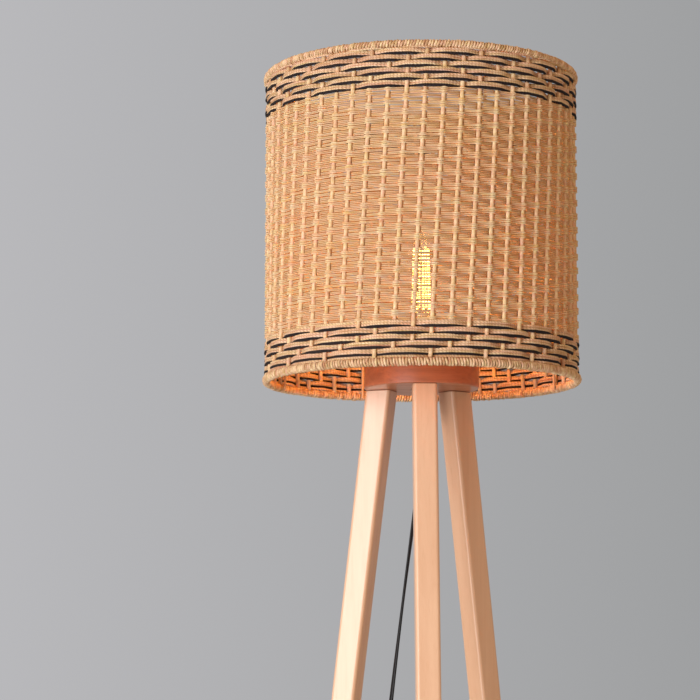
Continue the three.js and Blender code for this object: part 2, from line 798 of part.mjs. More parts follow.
const relief_tip = switch_length / 2 + seat_gap + relief_length + seat_gap;
const switch_entry = new THREE.Vector3(switch_place.x - relief_tip, switch_place.y, relief_height);
const switch_exit = new THREE.Vector3(switch_place.x + relief_tip, switch_place.y, relief_height);

const drop_route = [
  [0, 0, cord_exit_z - seat_gap],
  [0, 0, 1133],
  [-2, 0.3, 1105],
  [-5.2, 0.7, 1075],
  [-9.4, 1.3, 1042.6],
  [-19.6, 2.8, 965.2],
  [-30.5, 4.3, 875.6],
  [-45, 6.3, 750],
  [-60, 8.4, 600],
  [-72, 10.1, 450],
  [-82, 11.5, 300],
  [-89, 12.5, 180],
  [-94.5, 13.2, 90],
  [-99, 13.8, 42],
  [-108, 14, 14],
  [-122, 12.5, 4],
  [-138, 6, 2.6],
  [-151, -6, 2.6],
  [-158, -24, 2.6],
  [-156, -42, 2.8],
  [-146, -56, 5],
  [-131, -64, 8.5],
  [-116, -66, 11.2],
  [switch_entry.x, switch_entry.y, switch_entry.z],
];

const lead_route = [
  [31.6, -66, 10.8],
  [45.6, -66, 6.2],
  [54.8, -66, 3.9],
];

const tail_route = [
  [53, 10.4, 9.4],
  [40, 13, 6],
  [27, 19, 3.2],
  [16, 28, 3.6],
  [6, 37.5, 6],
];

function curve_through(points) {
  return new THREE.CatmullRomCurve3(points.map(([x, y, z]) => new THREE.Vector3(x, y, z)));
}

function build_free_cord(name, points, steps) {
  add(loose, name, tube(curve_through(points), cord_radius, cord_sides, steps), black_flex);
}

// The coil spirals in along the floor, climbs a layer where it reverses, and spirals out again on top.
function coil_point(turns) {
  const reversal = coil_turns / 2;
  const inward = reversal - Math.abs(turns - reversal);
  const climb = THREE.MathUtils.smoothstep(turns, coil_layer_turns, coil_layer_turns + coil_climb_turns);
  const angle = coil_start_angle + turns * 360;
  const z = coil_low_z + climb * coil_pitch;
  const point = polar(coil_turn_radius - coil_pitch * inward, angle, z);
  return point.add(new THREE.Vector3(coil_place.x, coil_place.y, 0));
}

function coil_points() {
  const count = Math.round(coil_turns * coil_steps_per_turn);
  const points = Array.from({ length: count + 1 }, (_, i) => coil_point(coil_turns * i / count));
  const lead_in = points[0].clone().sub(new THREE.Vector3(2 * cord_radius, 0, 0));
  const lead_out = points[count].clone().sub(new THREE.Vector3(2 * cord_radius, 0, 0));
  return [lead_in, ...points, lead_out];
}

// One unbroken tube with a level section at every point.
function coil_geometry(points) {
  const vertices = [];
  const faces = [];
  const last = points.length - 1;
  points.forEach((point, i) => {
    const ahead = points[Math.min(i + 1, last)];
    const behind = points[Math.max(i - 1, 0)];
    const along = ahead.clone().sub(behind).normalize();
    const side = new THREE.Vector3(0, 0, 1).cross(along).normalize();
    const up = along.clone().cross(side);
    for (let k = 0; k < coil_sides; k += 1) {
      const angle = k * 2 * Math.PI / coil_sides;
      const corner = point.clone()
        .addScaledVector(side, cord_radius * Math.cos(angle))
        .addScaledVector(up, cord_radius * Math.sin(angle));
      vertices.push(corner.x, corner.y, corner.z);
    }
  });
  const at = (ring, k) => ring * coil_sides + k % coil_sides;
  for (let ring = 0; ring < last; ring += 1) {
    for (let k = 0; k < coil_sides; k += 1) {
      faces.push(at(ring, k), at(ring, k + 1), at(ring + 1, k));
      faces.push(at(ring, k + 1), at(ring + 1, k + 1), at(ring + 1, k));
    }
  }
  for (let k = 1; k < coil_sides - 1; k += 1) {
    faces.push(at(0, 0), at(0, k + 1), at(0, k));
    faces.push(at(last, 0), at(last, k), at(last, k + 1));
  }
  const geometry = new THREE.BufferGeometry();
  geometry.setAttribute("position", new THREE.Float32BufferAttribute(vertices, 3));
  geometry.setIndex(faces);
  return geometry;
}

// The least clear space between turns that are more than half a turn apart.
function least_self_gap(points) {
  const apart = coil_steps_per_turn / 2;
  let least = Infinity;
  for (let i = 0; i < points.length - 1; i += 1) {
    for (let j = i + apart; j < points.length - 1; j += 1) {
      const a = new THREE.Line3(points[i], points[i + 1]);
      const b = new THREE.Line3(points[j], points[j + 1]);
      for (const share of [0, 0.25, 0.5, 0.75, 1]) {
        const spot = a.at(share, new THREE.Vector3());
        const near = b.closestPointToPoint(spot, true, new THREE.Vector3());
        least = Math.min(least, spot.distanceTo(near) - 2 * cord_radius);
      }
    }
  }
  return least;
}

function build_tie() {
  const reach = coil_pitch * Math.ceil(coil_layer_turns) / 2 + cord_radius + seat_gap;
  const middle = coil_turn_radius - coil_pitch * coil_turns / 4;
  const low = tie_thickness;
  const high = coil_low_z + coil_pitch + cord_radius + seat_gap;
  const outside = new THREE.BoxGeometry(
    2 * (reach + tie_thickness), tie_width, high + tie_thickness,
  ).translate(0, 0, (high + tie_thickness) / 2);
  const inside = new THREE.BoxGeometry(
    2 * reach, tie_width + 2 * cut_overrun, high - low,
  ).translate(0, 0, (high + low) / 2);
  const tie = cut(outside, inside);
  tie.translate(middle, 0, 0);
  tie.rotateZ(THREE.MathUtils.degToRad(tie_angle));
  tie.translate(coil_place.x, coil_place.y, 0);
  add(loose, "coil_tie", tie, felt);
}

// Plug, lying on its flat side

function build_plug() {
  const plug = new THREE.Group();
  plug.position.set(plug_place.x, plug_place.y, 0);
  plug.rotation.z = THREE.MathUtils.degToRad(plug_turn);
  loose.add(plug);
  const middle_z = plug_thickness / 2;
  const back = plug_relief_length + seat_gap;
  const options = {
    depth: plug_thickness - 2 * plug_edge, bevelEnabled: true, bevelThickness: plug_edge,
    bevelSize: plug_edge, bevelOffset: -plug_edge, bevelSegments: edge_steps, curveSegments: corner_steps,
  };
  const outline = rounded_rectangle(plug_length, plug_width, plug_corner);
  const block = new THREE.ExtrudeGeometry(outline, options);
  block.translate(back + plug_length / 2, 0, plug_edge);
  const relief = turned([
    [0, 0], [relief_tip_radius, 0], [plug_relief_radius, plug_relief_length + plug_corner],
    [0, plug_relief_length + plug_corner],
  ], small_facets).rotateY(Math.PI / 2).translate(seat_gap, 0, middle_z);
  const front = back + plug_length;
  const pins = [1, -1].map((side) => round_bar(
    pin_radius, front - pin_socket, front + pin_length, pin_facets,
  ).rotateY(Math.PI / 2).translate(0, side * pin_spacing / 2, middle_z));
  const sockets = [1, -1].map((side) => round_bar(
    pin_radius + seat_gap, front - pin_socket - seat_gap, front + cut_overrun, pin_facets,
  ).rotateY(Math.PI / 2).translate(0, side * pin_spacing / 2, middle_z));
  add(plug, "plug_body", cut(join(block, relief), ...sockets), black_plastic);
  pins.forEach((pin, i) => add(plug, `plug_pin_${i + 1}`, pin, steel));
}

function build_cords() {
  build_free_cord("cord_drop", drop_route, drop_steps);
  const coil = coil_points();
  const coil_start = coil[0];
  const coil_end = coil[coil.length - 1];
  const lead_from = [switch_exit.x, switch_exit.y, switch_exit.z];
  const lead_to = [coil_start.x - seat_gap, coil_start.y, coil_start.z];
  build_free_cord("cord_lead", [lead_from, ...lead_route, lead_to], lead_steps);
  add(loose, "cord_coil", coil_geometry(coil), black_flex);
  const tail_from = [coil_end.x - seat_gap, coil_end.y, coil_end.z];
  const tail_to = [plug_place.x, plug_place.y, plug_thickness / 2];
  build_free_cord("cord_tail", [tail_from, ...tail_route, tail_to], tail_steps);
  build_tie();
  build_plug();
  console.error(`least gap of the cord coil to itself: ${least_self_gap(coil).toFixed(2)} mm`);
}

build_legs();
build_hub();
build_mains_path();
build_lampholder();
build_clamp_ring();
build_bulb();
build_shade();
build_switch();
build_cords();

// The standing lamp's box is centred on the origin, so its axis lies a little towards the back.
standing.updateMatrixWorld(true);
const box = new THREE.Box3().setFromObject(standing, true);
lamp.position.set(-(box.min.x + box.max.x) / 2, -(box.min.y + box.max.y) / 2, 0);

export default lamp;
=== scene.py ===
import math
import random

import bmesh
import bpy
from mathutils import Matrix, Vector
from mathutils.geometry import interpolate_bezier


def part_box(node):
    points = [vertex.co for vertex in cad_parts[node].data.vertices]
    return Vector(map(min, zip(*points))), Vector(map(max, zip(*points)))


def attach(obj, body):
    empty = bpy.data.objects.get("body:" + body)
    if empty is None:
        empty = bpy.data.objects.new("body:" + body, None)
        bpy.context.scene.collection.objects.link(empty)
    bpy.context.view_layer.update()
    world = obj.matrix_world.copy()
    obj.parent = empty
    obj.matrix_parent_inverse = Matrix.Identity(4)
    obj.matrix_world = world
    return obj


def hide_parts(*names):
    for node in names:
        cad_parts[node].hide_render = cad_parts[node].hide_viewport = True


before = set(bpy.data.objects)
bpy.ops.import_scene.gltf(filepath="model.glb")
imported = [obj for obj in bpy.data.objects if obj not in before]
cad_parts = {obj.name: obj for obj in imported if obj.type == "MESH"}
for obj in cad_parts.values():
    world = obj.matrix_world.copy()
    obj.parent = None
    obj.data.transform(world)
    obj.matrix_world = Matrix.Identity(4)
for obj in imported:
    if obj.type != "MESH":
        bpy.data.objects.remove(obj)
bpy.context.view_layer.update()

random.seed(41)

mm = 0.001
UP = Vector((0, 0, 1))
hub_low, hub_high = (Vector(corner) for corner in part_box("hub_disc"))
lamp_axis = Vector(((hub_low.x + hub_high.x) / 2, (hub_low.y + hub_high.y) / 2, 0))
stake_ring_radius = 154.0
seat_gap = 0.3
cut_overrun = 4


# Tools for shaping

def spot(x, y, z):
    """A place given in millimetres from the lamp's axis and the floor."""
    return lamp_axis + Vector((x, y, z)) * mm


def round_spot(radius, degrees, height):
    """A place given in millimetres by its distance from the lamp's axis, its direction and its height."""
    angle = math.radians(degrees)
    return spot(radius * math.cos(angle), radius * math.sin(angle), height)


def spun(shape, axis, steps):
    """The shape's outline swept once round an axis through the origin."""
    bmesh.ops.spin(
        shape, geom=shape.verts[:] + shape.edges[:], cent=(0, 0, 0), axis=axis, dvec=(0, 0, 0),
        angle=2 * math.pi, steps=steps, use_merge=True,
    )
    bmesh.ops.remove_doubles(shape, verts=shape.verts, dist=1e-7)
    bmesh.ops.recalc_face_normals(shape, faces=shape.faces)
    return shape


def ring_section(inner, outer, low, high):
    """The section of a plain ring, or of a plain rod where inner is 0."""
    return [(inner, low), (outer, low), (outer, high), (inner, high)]


def ribs(count, start, pitch, reach_at, rib):
    """The section of a ribbed sleeve. A rib is its corners, out from the reach and up from its start."""
    section = []
    for number in range(count):
        low = start + number * pitch
        section += [(reach_at(low) + out, low + up) for out, up in rib]
    return section


def turned(profile, steps=64, closed=False):
    """A solid turned about the upright axis through the origin, from pairs of radius and height."""
    shape = bmesh.new()
    line = [shape.verts.new((radius * mm, 0, height * mm)) for radius, height in profile]
    for start, end in zip(line, line[1:]):
        shape.edges.new((start, end))
    if closed:
        shape.edges.new((line[-1], line[0]))
    return spun(shape, UP, steps)


def soften(shape, width, segments=2, sharper=0.6):
    """Rounds the edges that turn by more than the angle sharper."""
    edges = [edge for edge in shape.edges if edge.is_manifold and edge.calc_face_angle() > sharper]
    bmesh.ops.bevel(
        shape, geom=edges, offset=width * mm, segments=segments, profile=0.5,
        affect="EDGES", material=-1, clamp_overlap=True,
    )
    return shape


def shift(x=0, y=0, z=0):
    return Matrix.Translation((x * mm, y * mm, z * mm))


def rotation(axis, degrees):
    return Matrix.Rotation(math.radians(degrees), 4, axis)


def moved(shape, matrix):
    bmesh.ops.transform(shape, matrix=matrix, verts=shape.verts)
    return shape


def on_axis(shape):
    return moved(shape, Matrix.Translation(lamp_axis))


def block(length, width, low, high, corner, corner_segments=6):
    """An upright block with round vertical edges, in the middle of the origin."""
    shape = bmesh.new()
    bmesh.ops.create_cube(shape, size=1)
    size = Matrix.Diagonal((length * mm, width * mm, (high - low) * mm, 1))
    moved(shape, shift(z=(low + high) / 2) @ size)
    upright = [e for e in shape.edges if abs((e.verts[0].co - e.verts[1].co).z) > (high - low) * mm / 2]
    bmesh.ops.bevel(
        shape, geom=upright, offset=corner * mm, segments=corner_segments, profile=0.5,
        affect="EDGES", material=-1,
    )
    return shape


def mesh_from(shape):
    mesh = bpy.data.meshes.new("shape")
    shape.to_mesh(mesh)
    shape.free()
    return mesh


def placed(name, mesh):
    piece = bpy.data.objects.new(name, mesh)
    bpy.context.scene.collection.objects.link(piece)
    return piece


def cut(shape, *tools):
    """The shape with the tools taken out of it."""
    body = placed("blank", mesh_from(shape))
    cutters = [placed("cutter", mesh_from(tool)) for tool in tools]
    for cutter in cutters:
        step = body.modifiers.new("cut", "BOOLEAN")
        step.operation = "DIFFERENCE"
        step.solver = "EXACT"
        step.object = cutter
    graph = bpy.context.evaluated_depsgraph_get()
    mesh = bpy.data.meshes.new_from_object(body.evaluated_get(graph))
    for spare in (body, *cutters):
        bpy.data.objects.remove(spare)
    result = bmesh.new()
    result.from_mesh(mesh)
    bmesh.ops.remove_doubles(result, verts=result.verts, dist=1e-6)
    return result


def smooth_route(points, step=6 * mm):
    """Places about a step apart on one smooth curve through the points."""
    ends = [2 * points[0] - points[1], *points, 2 * points[-1] - points[-2]]
    route = [points[0]]
    for before, start, end, after in zip(ends, ends[1:], ends[2:], ends[3:]):
        reach = (end - start).length / 3
        leaving = start + (end - before).normalized() * reach
        arriving = end - (after - start).normalized() * reach
        count = max(2, round(3 * reach / step))
        route += interpolate_bezier(start, leaving, arriving, end, count + 1)[1:]
    return route


def tubes(routes, radius=1, sides=8, closed=False, twist="MINIMUM", section=None, turns=None, sizes=None):
    """One mesh of a tube along each route. A section is a closed outline in place of the round one.
    Turns tilt the section and sizes scale it, one number for each place of the route."""
    data = bpy.data.curves.new("route", "CURVE")
    data.dimensions = "3D"
    data.twist_mode = twist
    data.use_fill_caps = not closed
    data.bevel_depth = radius * mm
    data.bevel_resolution = (sides - 4) // 2
    for route in routes:
        spline = data.splines.new("POLY")
        spline.points.add(len(route) - 1)
        spline.points.foreach_set("co", [value for place in route for value in (*place, 1)])
        spline.use_cyclic_u = closed
        if turns:
            spline.points.foreach_set("tilt", turns)
        if sizes:
            spline.points.foreach_set("radius", sizes)
    holder = placed("route", data)
    outline = None
    if section:
        outline_data = bpy.data.curves.new("outline", "CURVE")
        spline = outline_data.splines.new("POLY")
        spline.points.add(len(section) - 1)
        spline.points.foreach_set("co", [value for x, y in section for value in (x * mm, y * mm, 0, 1)])
        spline.use_cyclic_u = True
        outline = placed("outline", outline_data)
        data.bevel_mode = "OBJECT"
        data.bevel_object = outline
    graph = bpy.context.evaluated_depsgraph_get()
    graph.update()
    mesh = bpy.data.meshes.new_from_object(holder.evaluated_get(graph))
    bpy.data.objects.remove(holder)
    if outline:
        bpy.data.objects.remove(outline)
    return mesh


def closed_up(mesh):
    """The mesh as a shape whose end caps are joined to its tube."""
    shape = bmesh.new()
    shape.from_mesh(mesh)
    bmesh.ops.remove_doubles(shape, verts=shape.verts, dist=1e-6)
    bmesh.ops.recalc_face_normals(shape, faces=shape.faces)
    return shape


def flat_faced(mesh):
    """The mesh with normals weighted by area, so that flat faces shade flat beside their rounded edges."""
    holder = placed("holder", mesh)
    step = holder.modifiers.new("normals", "WEIGHTED_NORMAL")
    step.keep_sharp = True
    graph = bpy.context.evaluated_depsgraph_get()
    result = bpy.data.meshes.new_from_object(holder.evaluated_get(graph))
    bpy.data.objects.remove(holder)
    return result


def keep(name, shape, look, slot, *nodes, body="root", sharp=0.7):
    """The finished object of one piece, which stands for the CAD nodes that are named."""
    mesh = mesh_from(shape) if isinstance(shape, bmesh.types.BMesh) else shape
    mesh.shade_smooth()
    if sharp:
        mesh.set_sharp_from_angle(angle=sharp)
        mesh = flat_faced(mesh)
    mesh.name = name
    mesh.materials.clear()
    mesh.materials.append(look)
    piece = placed(name, mesh)
    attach(piece, body)
    if nodes:
        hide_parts(*nodes)
    return piece


# Node groups and materials

def put(tree, kind, values=None, **settings):
    """Adds a node. A value is a number, a colour or the socket that feeds it."""
    made = tree.nodes.new(kind)
    for key, value in settings.items():
        setattr(made, key, value)
    for key, value in (values or {}).items():
        if isinstance(value, bpy.types.NodeSocket):
            tree.links.new(value, made.inputs[key])
        else:
            made.inputs[key].default_value = value
    return made


def maths(tree, operation, first, second, clamp=False):
    made = put(tree, "ShaderNodeMath", {0: first, 1: second}, operation=operation, use_clamp=clamp)
    return made.outputs[0]


def product(tree, first, second, clamp=False):
    return maths(tree, "MULTIPLY", first, second, clamp)


def added(tree, first, second, clamp=False):
    return maths(tree, "ADD", first, second, clamp)


def blend_of(tree, share, first, second, kind="MIX"):
    values = {0: share, 6: first, 7: second}
    return put(tree, "ShaderNodeMix", values, data_type="RGBA", blend_type=kind).outputs[2]


def group(name, inputs, outputs):
    """An empty shader group. An input is its name, kind of socket and start value."""
    tree = bpy.data.node_groups.new(name, "ShaderNodeTree")
    for label, kind, start in inputs:
        socket = tree.interface.new_socket(label, in_out="INPUT", socket_type=kind)
        if start is not None:
            socket.default_value = start
    for label, kind in outputs:
        tree.interface.new_socket(label, in_out="OUTPUT", socket_type=kind)
    return tree, put(tree, "NodeGroupInput").outputs, put(tree, "NodeGroupOutput").inputs


FLOAT, COLOR, VECTOR = "NodeSocketFloat", "NodeSocketColor", "NodeSocketVector"


def ranged(tree, value, low, high, start=0.0, end=1.0):
    """Maps a value from the range low to high to the range start to end."""
    return put(tree, "ShaderNodeMapRange", {0: value, 1: low, 2: high, 3: start, 4: end}).outputs[0]


def noise(tree, place, scale, detail, **more):
    values = {"Vector": place, "Scale": scale, "Detail": detail, **more}
    return put(tree, "ShaderNodeTexNoise", values).outputs["Fac"]


def stretched(tree, place, scale):
    return put(tree, "ShaderNodeMapping", {"Vector": place, "Scale": scale}).outputs[0]


def shades(tree, value, *stops):
    """A colour ramp between two pairs of a place and a colour."""
    ramp = put(tree, "ShaderNodeValToRGB", {0: value})
    for point, (place, colour) in zip(ramp.color_ramp.elements, stops):
        point.position = place
        point.color = colour
    return ramp.outputs[0]


def grey(value):
    return (value, value, value, 1)


def wood_grain():
    tree, given, result = group("wood_grain", [
        ("Place", VECTOR, None), ("Light", COLOR, grey(0.5)), ("Dark", COLOR, grey(0.3)),
        ("Streaks", FLOAT, 40.0), ("Contrast", FLOAT, 0.6),
    ], [("Color", COLOR), ("Polish", FLOAT), ("Height", FLOAT)])
    rings = noise(tree, given["Place"], given["Streaks"], 4, Roughness=0.55, Distortion=0.4)
    fine_scale = product(tree, given["Streaks"], 5.0)
    pores = noise(tree, given["Place"], fine_scale, 3, Roughness=0.7)
    slow_scale = product(tree, given["Streaks"], 0.22)
    cloud = noise(tree, given["Place"], slow_scale, 2)
    streak = ranged(tree, rings, 0.35, 0.7)
    pore = ranged(tree, pores, 0.52, 0.72)
    both = added(tree, product(tree, streak, 0.55), product(tree, pore, 0.3))
    both = added(tree, both, product(tree, cloud, 0.35))
    share = product(tree, both, given["Contrast"], clamp=True)
    colour = blend_of(tree, share, given["Light"], given["Dark"])
    tree.links.new(colour, result["Color"])
    tree.links.new(product(tree, both, 0.16), result["Polish"])
    tree.links.new(maths(tree, "SUBTRACT", 1.0, pore), result["Height"])
    return tree


def cane_fibre():
    tree, given, result = group("cane_fibre", [
        ("Place", VECTOR, None), ("Pale", COLOR, grey(0.6)), ("Deep", COLOR, grey(0.4)),
        ("Along", FLOAT, 90.0), ("Mottle", FLOAT, 0.7), ("Painted Shade", FLOAT, 0.0),
    ], [("Color", COLOR), ("Height", FLOAT)])
    tint = noise(tree, stretched(tree, given["Place"], (7, 7, 420)), 1.0, 2, Roughness=0.6)
    fibre = noise(tree, stretched(tree, given["Place"], (1, 1, 9)), given["Along"], 4, Roughness=0.7)
    patch = noise(tree, given["Place"], 9.0, 3)
    tint = ranged(tree, tint, 0.36, 0.68, 0.0, 0.62)
    fleck = ranged(tree, fibre, 0.45, 0.75, 0.0, 0.5)
    stain = ranged(tree, patch, 0.45, 0.8, 0.0, 0.35)
    total = added(tree, added(tree, tint, fleck), stain)
    share = product(tree, total, given["Mottle"], clamp=True)
    colour = blend_of(tree, share, given["Pale"], given["Deep"])
    other = noise(tree, stretched(tree, given["Place"], (9, 9, 340)), 1.3, 1)
    hue = ranged(tree, other, 0.3, 0.7, 0.478, 0.522)
    rich = ranged(tree, fibre, 0.35, 0.65, 0.85, 1.2)
    varied = put(tree, "ShaderNodeHueSaturation", {"Hue": hue, "Saturation": rich, "Color": colour})
    # Painted shade: a darker copy of the deep colour, blended in where a strand is to look shaded.
    painted_shade = blend_of(tree, 1.0, given["Deep"], (0.56, 0.41, 0.28, 1), "MULTIPLY")
    tree.links.new(blend_of(tree, given["Painted Shade"], varied.outputs[0], painted_shade), result["Color"])
    tree.links.new(fibre, result["Height"])
    return tree


def twist_of_strand():
    tree, given, result = group("strand_twist", [
        ("Along", FLOAT, 0.0), ("Around", FLOAT, 0.0), ("Twists", FLOAT, 150.0), ("Plies", FLOAT, 2.0),
    ], [("Ply", FLOAT)])
    turn = added(tree, product(tree, given["Along"], given["Twists"]), given["Around"])
    phase = product(tree, product(tree, turn, given["Plies"]), 2 * math.pi)
    wave = put(tree, "ShaderNodeMath", {0: phase}, operation="SINE").outputs[0]
    ply = put(tree, "ShaderNodeMath", {0: wave, 1: 0.5, 2: 0.5}, operation="MULTIPLY_ADD").outputs[0]
    tree.links.new(ply, result["Ply"])
    return tree


def handling_wear():
    tree, given, result = group("handling_wear", [
        ("Place", VECTOR, None), ("Size", FLOAT, 60.0), ("Amount", FLOAT, 0.5),
    ], [("Mask", FLOAT), ("Height", FLOAT)])
    smear = noise(tree, given["Place"], given["Size"], 6, Roughness=0.65)
    speck = noise(tree, given["Place"], 2200.0, 2, Roughness=0.6)
    mask = ranged(tree, smear, 0.45, 0.75)
    tree.links.new(product(tree, mask, given["Amount"]), result["Mask"])
    tree.links.new(speck, result["Height"])
    return tree


GRAIN, FIBRE, TWIST, WEAR = wood_grain(), cane_fibre(), twist_of_strand(), handling_wear()


def new_look(name):
    look = bpy.data.materials.new(name)
    look.use_nodes = True
    tree = look.node_tree
    tree.nodes.clear()
    out = put(tree, "ShaderNodeOutputMaterial")
    place = put(tree, "ShaderNodeTexCoord").outputs["Object"]
    return look, tree, out, place


def raised_by(tree, height, strength, distance):
    return put(tree, "ShaderNodeBump", {
        "Height": height, "Strength": strength, "Distance": distance * mm,
    }).outputs[0]


def wood_look(name, light, dark, stretch, streaks, contrast, roughness, coat):
    look, tree, out, place = new_look(name)
    grain = put(tree, "ShaderNodeGroup", {
        "Place": stretched(tree, place, stretch), "Light": light, "Dark": dark, "Streaks": streaks,
        "Contrast": contrast,
    }, node_tree=GRAIN)
    surface = put(tree, "ShaderNodeBsdfPrincipled", {
        "Base Color": grain.outputs["Color"],
        "Roughness": added(tree, grain.outputs["Polish"], roughness),
        "Normal": raised_by(tree, grain.outputs["Height"], 0.25, 0.15),
        "Coat Weight": coat, "Coat Roughness": 0.24,
    })
    tree.links.new(surface.outputs[0], out.inputs[0])
    return look


# Painted shade on the woven strands: full this far inside the ring of stakes, none this far outside it.
painted_shade_start, painted_shade_depth = 2.2, 2.7


def cane_look(
    name, pale, deep, mottle, glow=0.0, twists=0.0, height=0.25, roughness=0.62, painted_shade=0.0, run=(1, 1, 1),
):
    """Cane. Glow is the share of light that comes through it, and twists its turns along a strand,
    with the grooves between its plies darkened as painted shade. Painted shade darkens its colour,
    as if shaded, by the given amount where a strand lies inside the ring of stakes, which leaves the
    spans over the stakes lighter; the sides where strands meet then get a painted crevice shadow too.
    Run stretches its pattern the way the strands run."""
    look, tree, out, place = new_look(name)
    fibre = put(tree, "ShaderNodeGroup", {
        "Place": stretched(tree, place, run), "Pale": pale, "Deep": deep, "Mottle": mottle,
    }, node_tree=FIBRE)
    uv = put(tree, "ShaderNodeSeparateXYZ", {0: put(tree, "ShaderNodeUVMap").outputs[0]}).outputs
    # Painted shade: strands inside the ring of stakes are darkened as if in shade, which leaves the spans
    # over the stakes lighter, and the two opposite sides where each strand meets its neighbours get a painted
    # crevice shadow.
    if painted_shade:
        flat = put(tree, "ShaderNodeVectorMath", {0: place, 1: lamp_axis}, operation="SUBTRACT").outputs[0]
        flat = put(tree, "ShaderNodeVectorMath", {0: flat, 1: (1, 1, 0)}, operation="MULTIPLY").outputs[0]
        reach = put(tree, "ShaderNodeVectorMath", {0: flat}, operation="LENGTH").outputs["Value"]
        inside, outside = stake_ring_radius - painted_shade_depth, stake_ring_radius + painted_shade_start
        painted_shade_share = ranged(tree, reach, inside * mm, outside * mm, painted_shade, 0.0)
        side = product(tree, added(tree, uv[1], -0.25), 4 * math.pi)
        side = put(tree, "ShaderNodeMath", {0: side}, operation="COSINE").outputs[0]
        crevice_painted_shade = ranged(tree, side, 0.1, 1.0, 0.0, 0.55)
        tree.links.new(added(tree, painted_shade_share, crevice_painted_shade, clamp=True), fibre.inputs["Painted Shade"])
    colour, relief = fibre.outputs["Color"], fibre.outputs["Height"]
    if twists:
        values = {"Along": uv[0], "Around": uv[1], "Twists": twists}
        ply = put(tree, "ShaderNodeGroup", values, node_tree=TWIST)
        # Painted shade in the grooves between the plies of a twisted strand, in a darker copy of the deep
        # colour.
        shade = ranged(tree, ply.outputs[0], 0.0, 0.5, 0.55, 0.0)
        colour = blend_of(tree, shade, colour, (deep[0] * 0.5, deep[1] * 0.45, deep[2] * 0.4, 1))
        relief = added(tree, relief, ply.outputs[0])
    bump = raised_by(tree, relief, 0.7, height)
    surface = put(tree, "ShaderNodeBsdfPrincipled", {
        "Base Color": colour, "Roughness": roughness, "Specular IOR Level": 0.22, "Normal": bump,
    })
    if glow:
        through = put(tree, "ShaderNodeBsdfTranslucent", {"Color": colour, "Normal": bump})
        surface = put(tree, "ShaderNodeMixShader", {0: glow, 1: surface.outputs[0], 2: through.outputs[0]})
    tree.links.new(surface.outputs[0], out.inputs[0])
    return look


def moulded_look(name, dark, worn, roughness, size, relief, metal=0.0, strength=0.4, shine=0.5):
    """A moulded, plated or painted finish. Size is how fine its wear is, relief how deep its specks."""
    look, tree, out, place = new_look(name)
    wear = put(tree, "ShaderNodeGroup", {"Place": place, "Size": size}, node_tree=WEAR)
    rough = added(tree, product(tree, wear.outputs["Mask"], 0.25), roughness)
    surface = put(tree, "ShaderNodeBsdfPrincipled", {
        "Base Color": blend_of(tree, wear.outputs["Mask"], dark, worn), "Roughness": rough, "Metallic": metal,
        "Specular IOR Level": shine, "Normal": raised_by(tree, wear.outputs["Height"], strength, relief),
    })
    tree.links.new(surface.outputs[0], out.inputs[0])
    return look


def glass_look():
    look, tree, out, place = new_look("bulb_clear_glass")
    wear = put(tree, "ShaderNodeGroup", {"Place": place, "Size": 40.0}, node_tree=WEAR)
    rough = product(tree, wear.outputs["Mask"], 0.06)
    glass = put(tree, "ShaderNodeBsdfPrincipled", {
        "Base Color": (1.0, 0.97, 0.92, 1), "Roughness": rough, "Transmission Weight": 1.0, "IOR": 1.47,
    })
    clear = put(tree, "ShaderNodeBsdfTransparent", {"Color": (1.0, 0.97, 0.92, 1)})
    shadow = put(tree, "ShaderNodeLightPath").outputs["Is Shadow Ray"]
    mixed = put(tree, "ShaderNodeMixShader", {0: shadow, 1: glass.outputs[0], 2: clear.outputs[0]})
    tree.links.new(mixed.outputs[0], out.inputs[0])
    return look


def filament_look():
    look, tree, out, place = new_look("lit_filament")
    beads = noise(tree, place, 900.0, 2)
    colour = shades(tree, beads, (0.3, (1.0, 0.42, 0.08, 1)), (0.7, (1.0, 0.6, 0.17, 1)))
    surface = put(tree, "ShaderNodeBsdfPrincipled", {
        "Base Color": colour, "Roughness": 0.5, "Emission Color": colour, "Emission Strength": 24.0,
    })
    tree.links.new(surface.outputs[0], out.inputs[0])
    return look


beech = wood_look(
    "beech_legs", (0.82, 0.54, 0.36, 1), (0.665, 0.38, 0.222, 1), stretch=(1.0, 1.0, 0.045), streaks=70.0,
    contrast=0.75, roughness=0.34, coat=0.62)
hub_stain = wood_look(
    "stained_hub", (0.58, 0.19, 0.085, 1), (0.3, 0.08, 0.035, 1), stretch=(0.06, 0.5, 1.0), streaks=110.0,
    contrast=0.9, roughness=0.3, coat=0.35)
# The woven strands carry painted shade where they lie inside the ring of stakes.
body_cane = cane_look(
    "woven_cane_strands", (1.0, 0.89, 0.64, 1), (1.0, 0.7, 0.38, 1), mottle=1.1, glow=0.24, height=0.12,
    painted_shade=0.95)
stake_cane = cane_look(
    "cane_stakes", (0.97, 0.73, 0.48, 1), (0.72, 0.45, 0.25, 1), mottle=1.0, glow=0.1, height=0.2,
    run=(9, 9, 0.4))
band_cane = cane_look(
    "banded_cane_cords", (1.0, 0.73, 0.49, 1), (0.56, 0.33, 0.18, 1), mottle=1.1, glow=0.08, twists=165.0,
    height=0.3)
black_cane = cane_look(
    "black_cords", (0.013, 0.01, 0.013, 1), (0.04, 0.028, 0.026, 1), mottle=0.6, twists=165.0, height=0.4,
    roughness=0.8)
lashing_cane = cane_look(
    "lashing_cane", (1.0, 0.76, 0.51, 1), (0.52, 0.3, 0.15, 1), mottle=1.3, glow=0.05, run=(36, 36, 0.15))
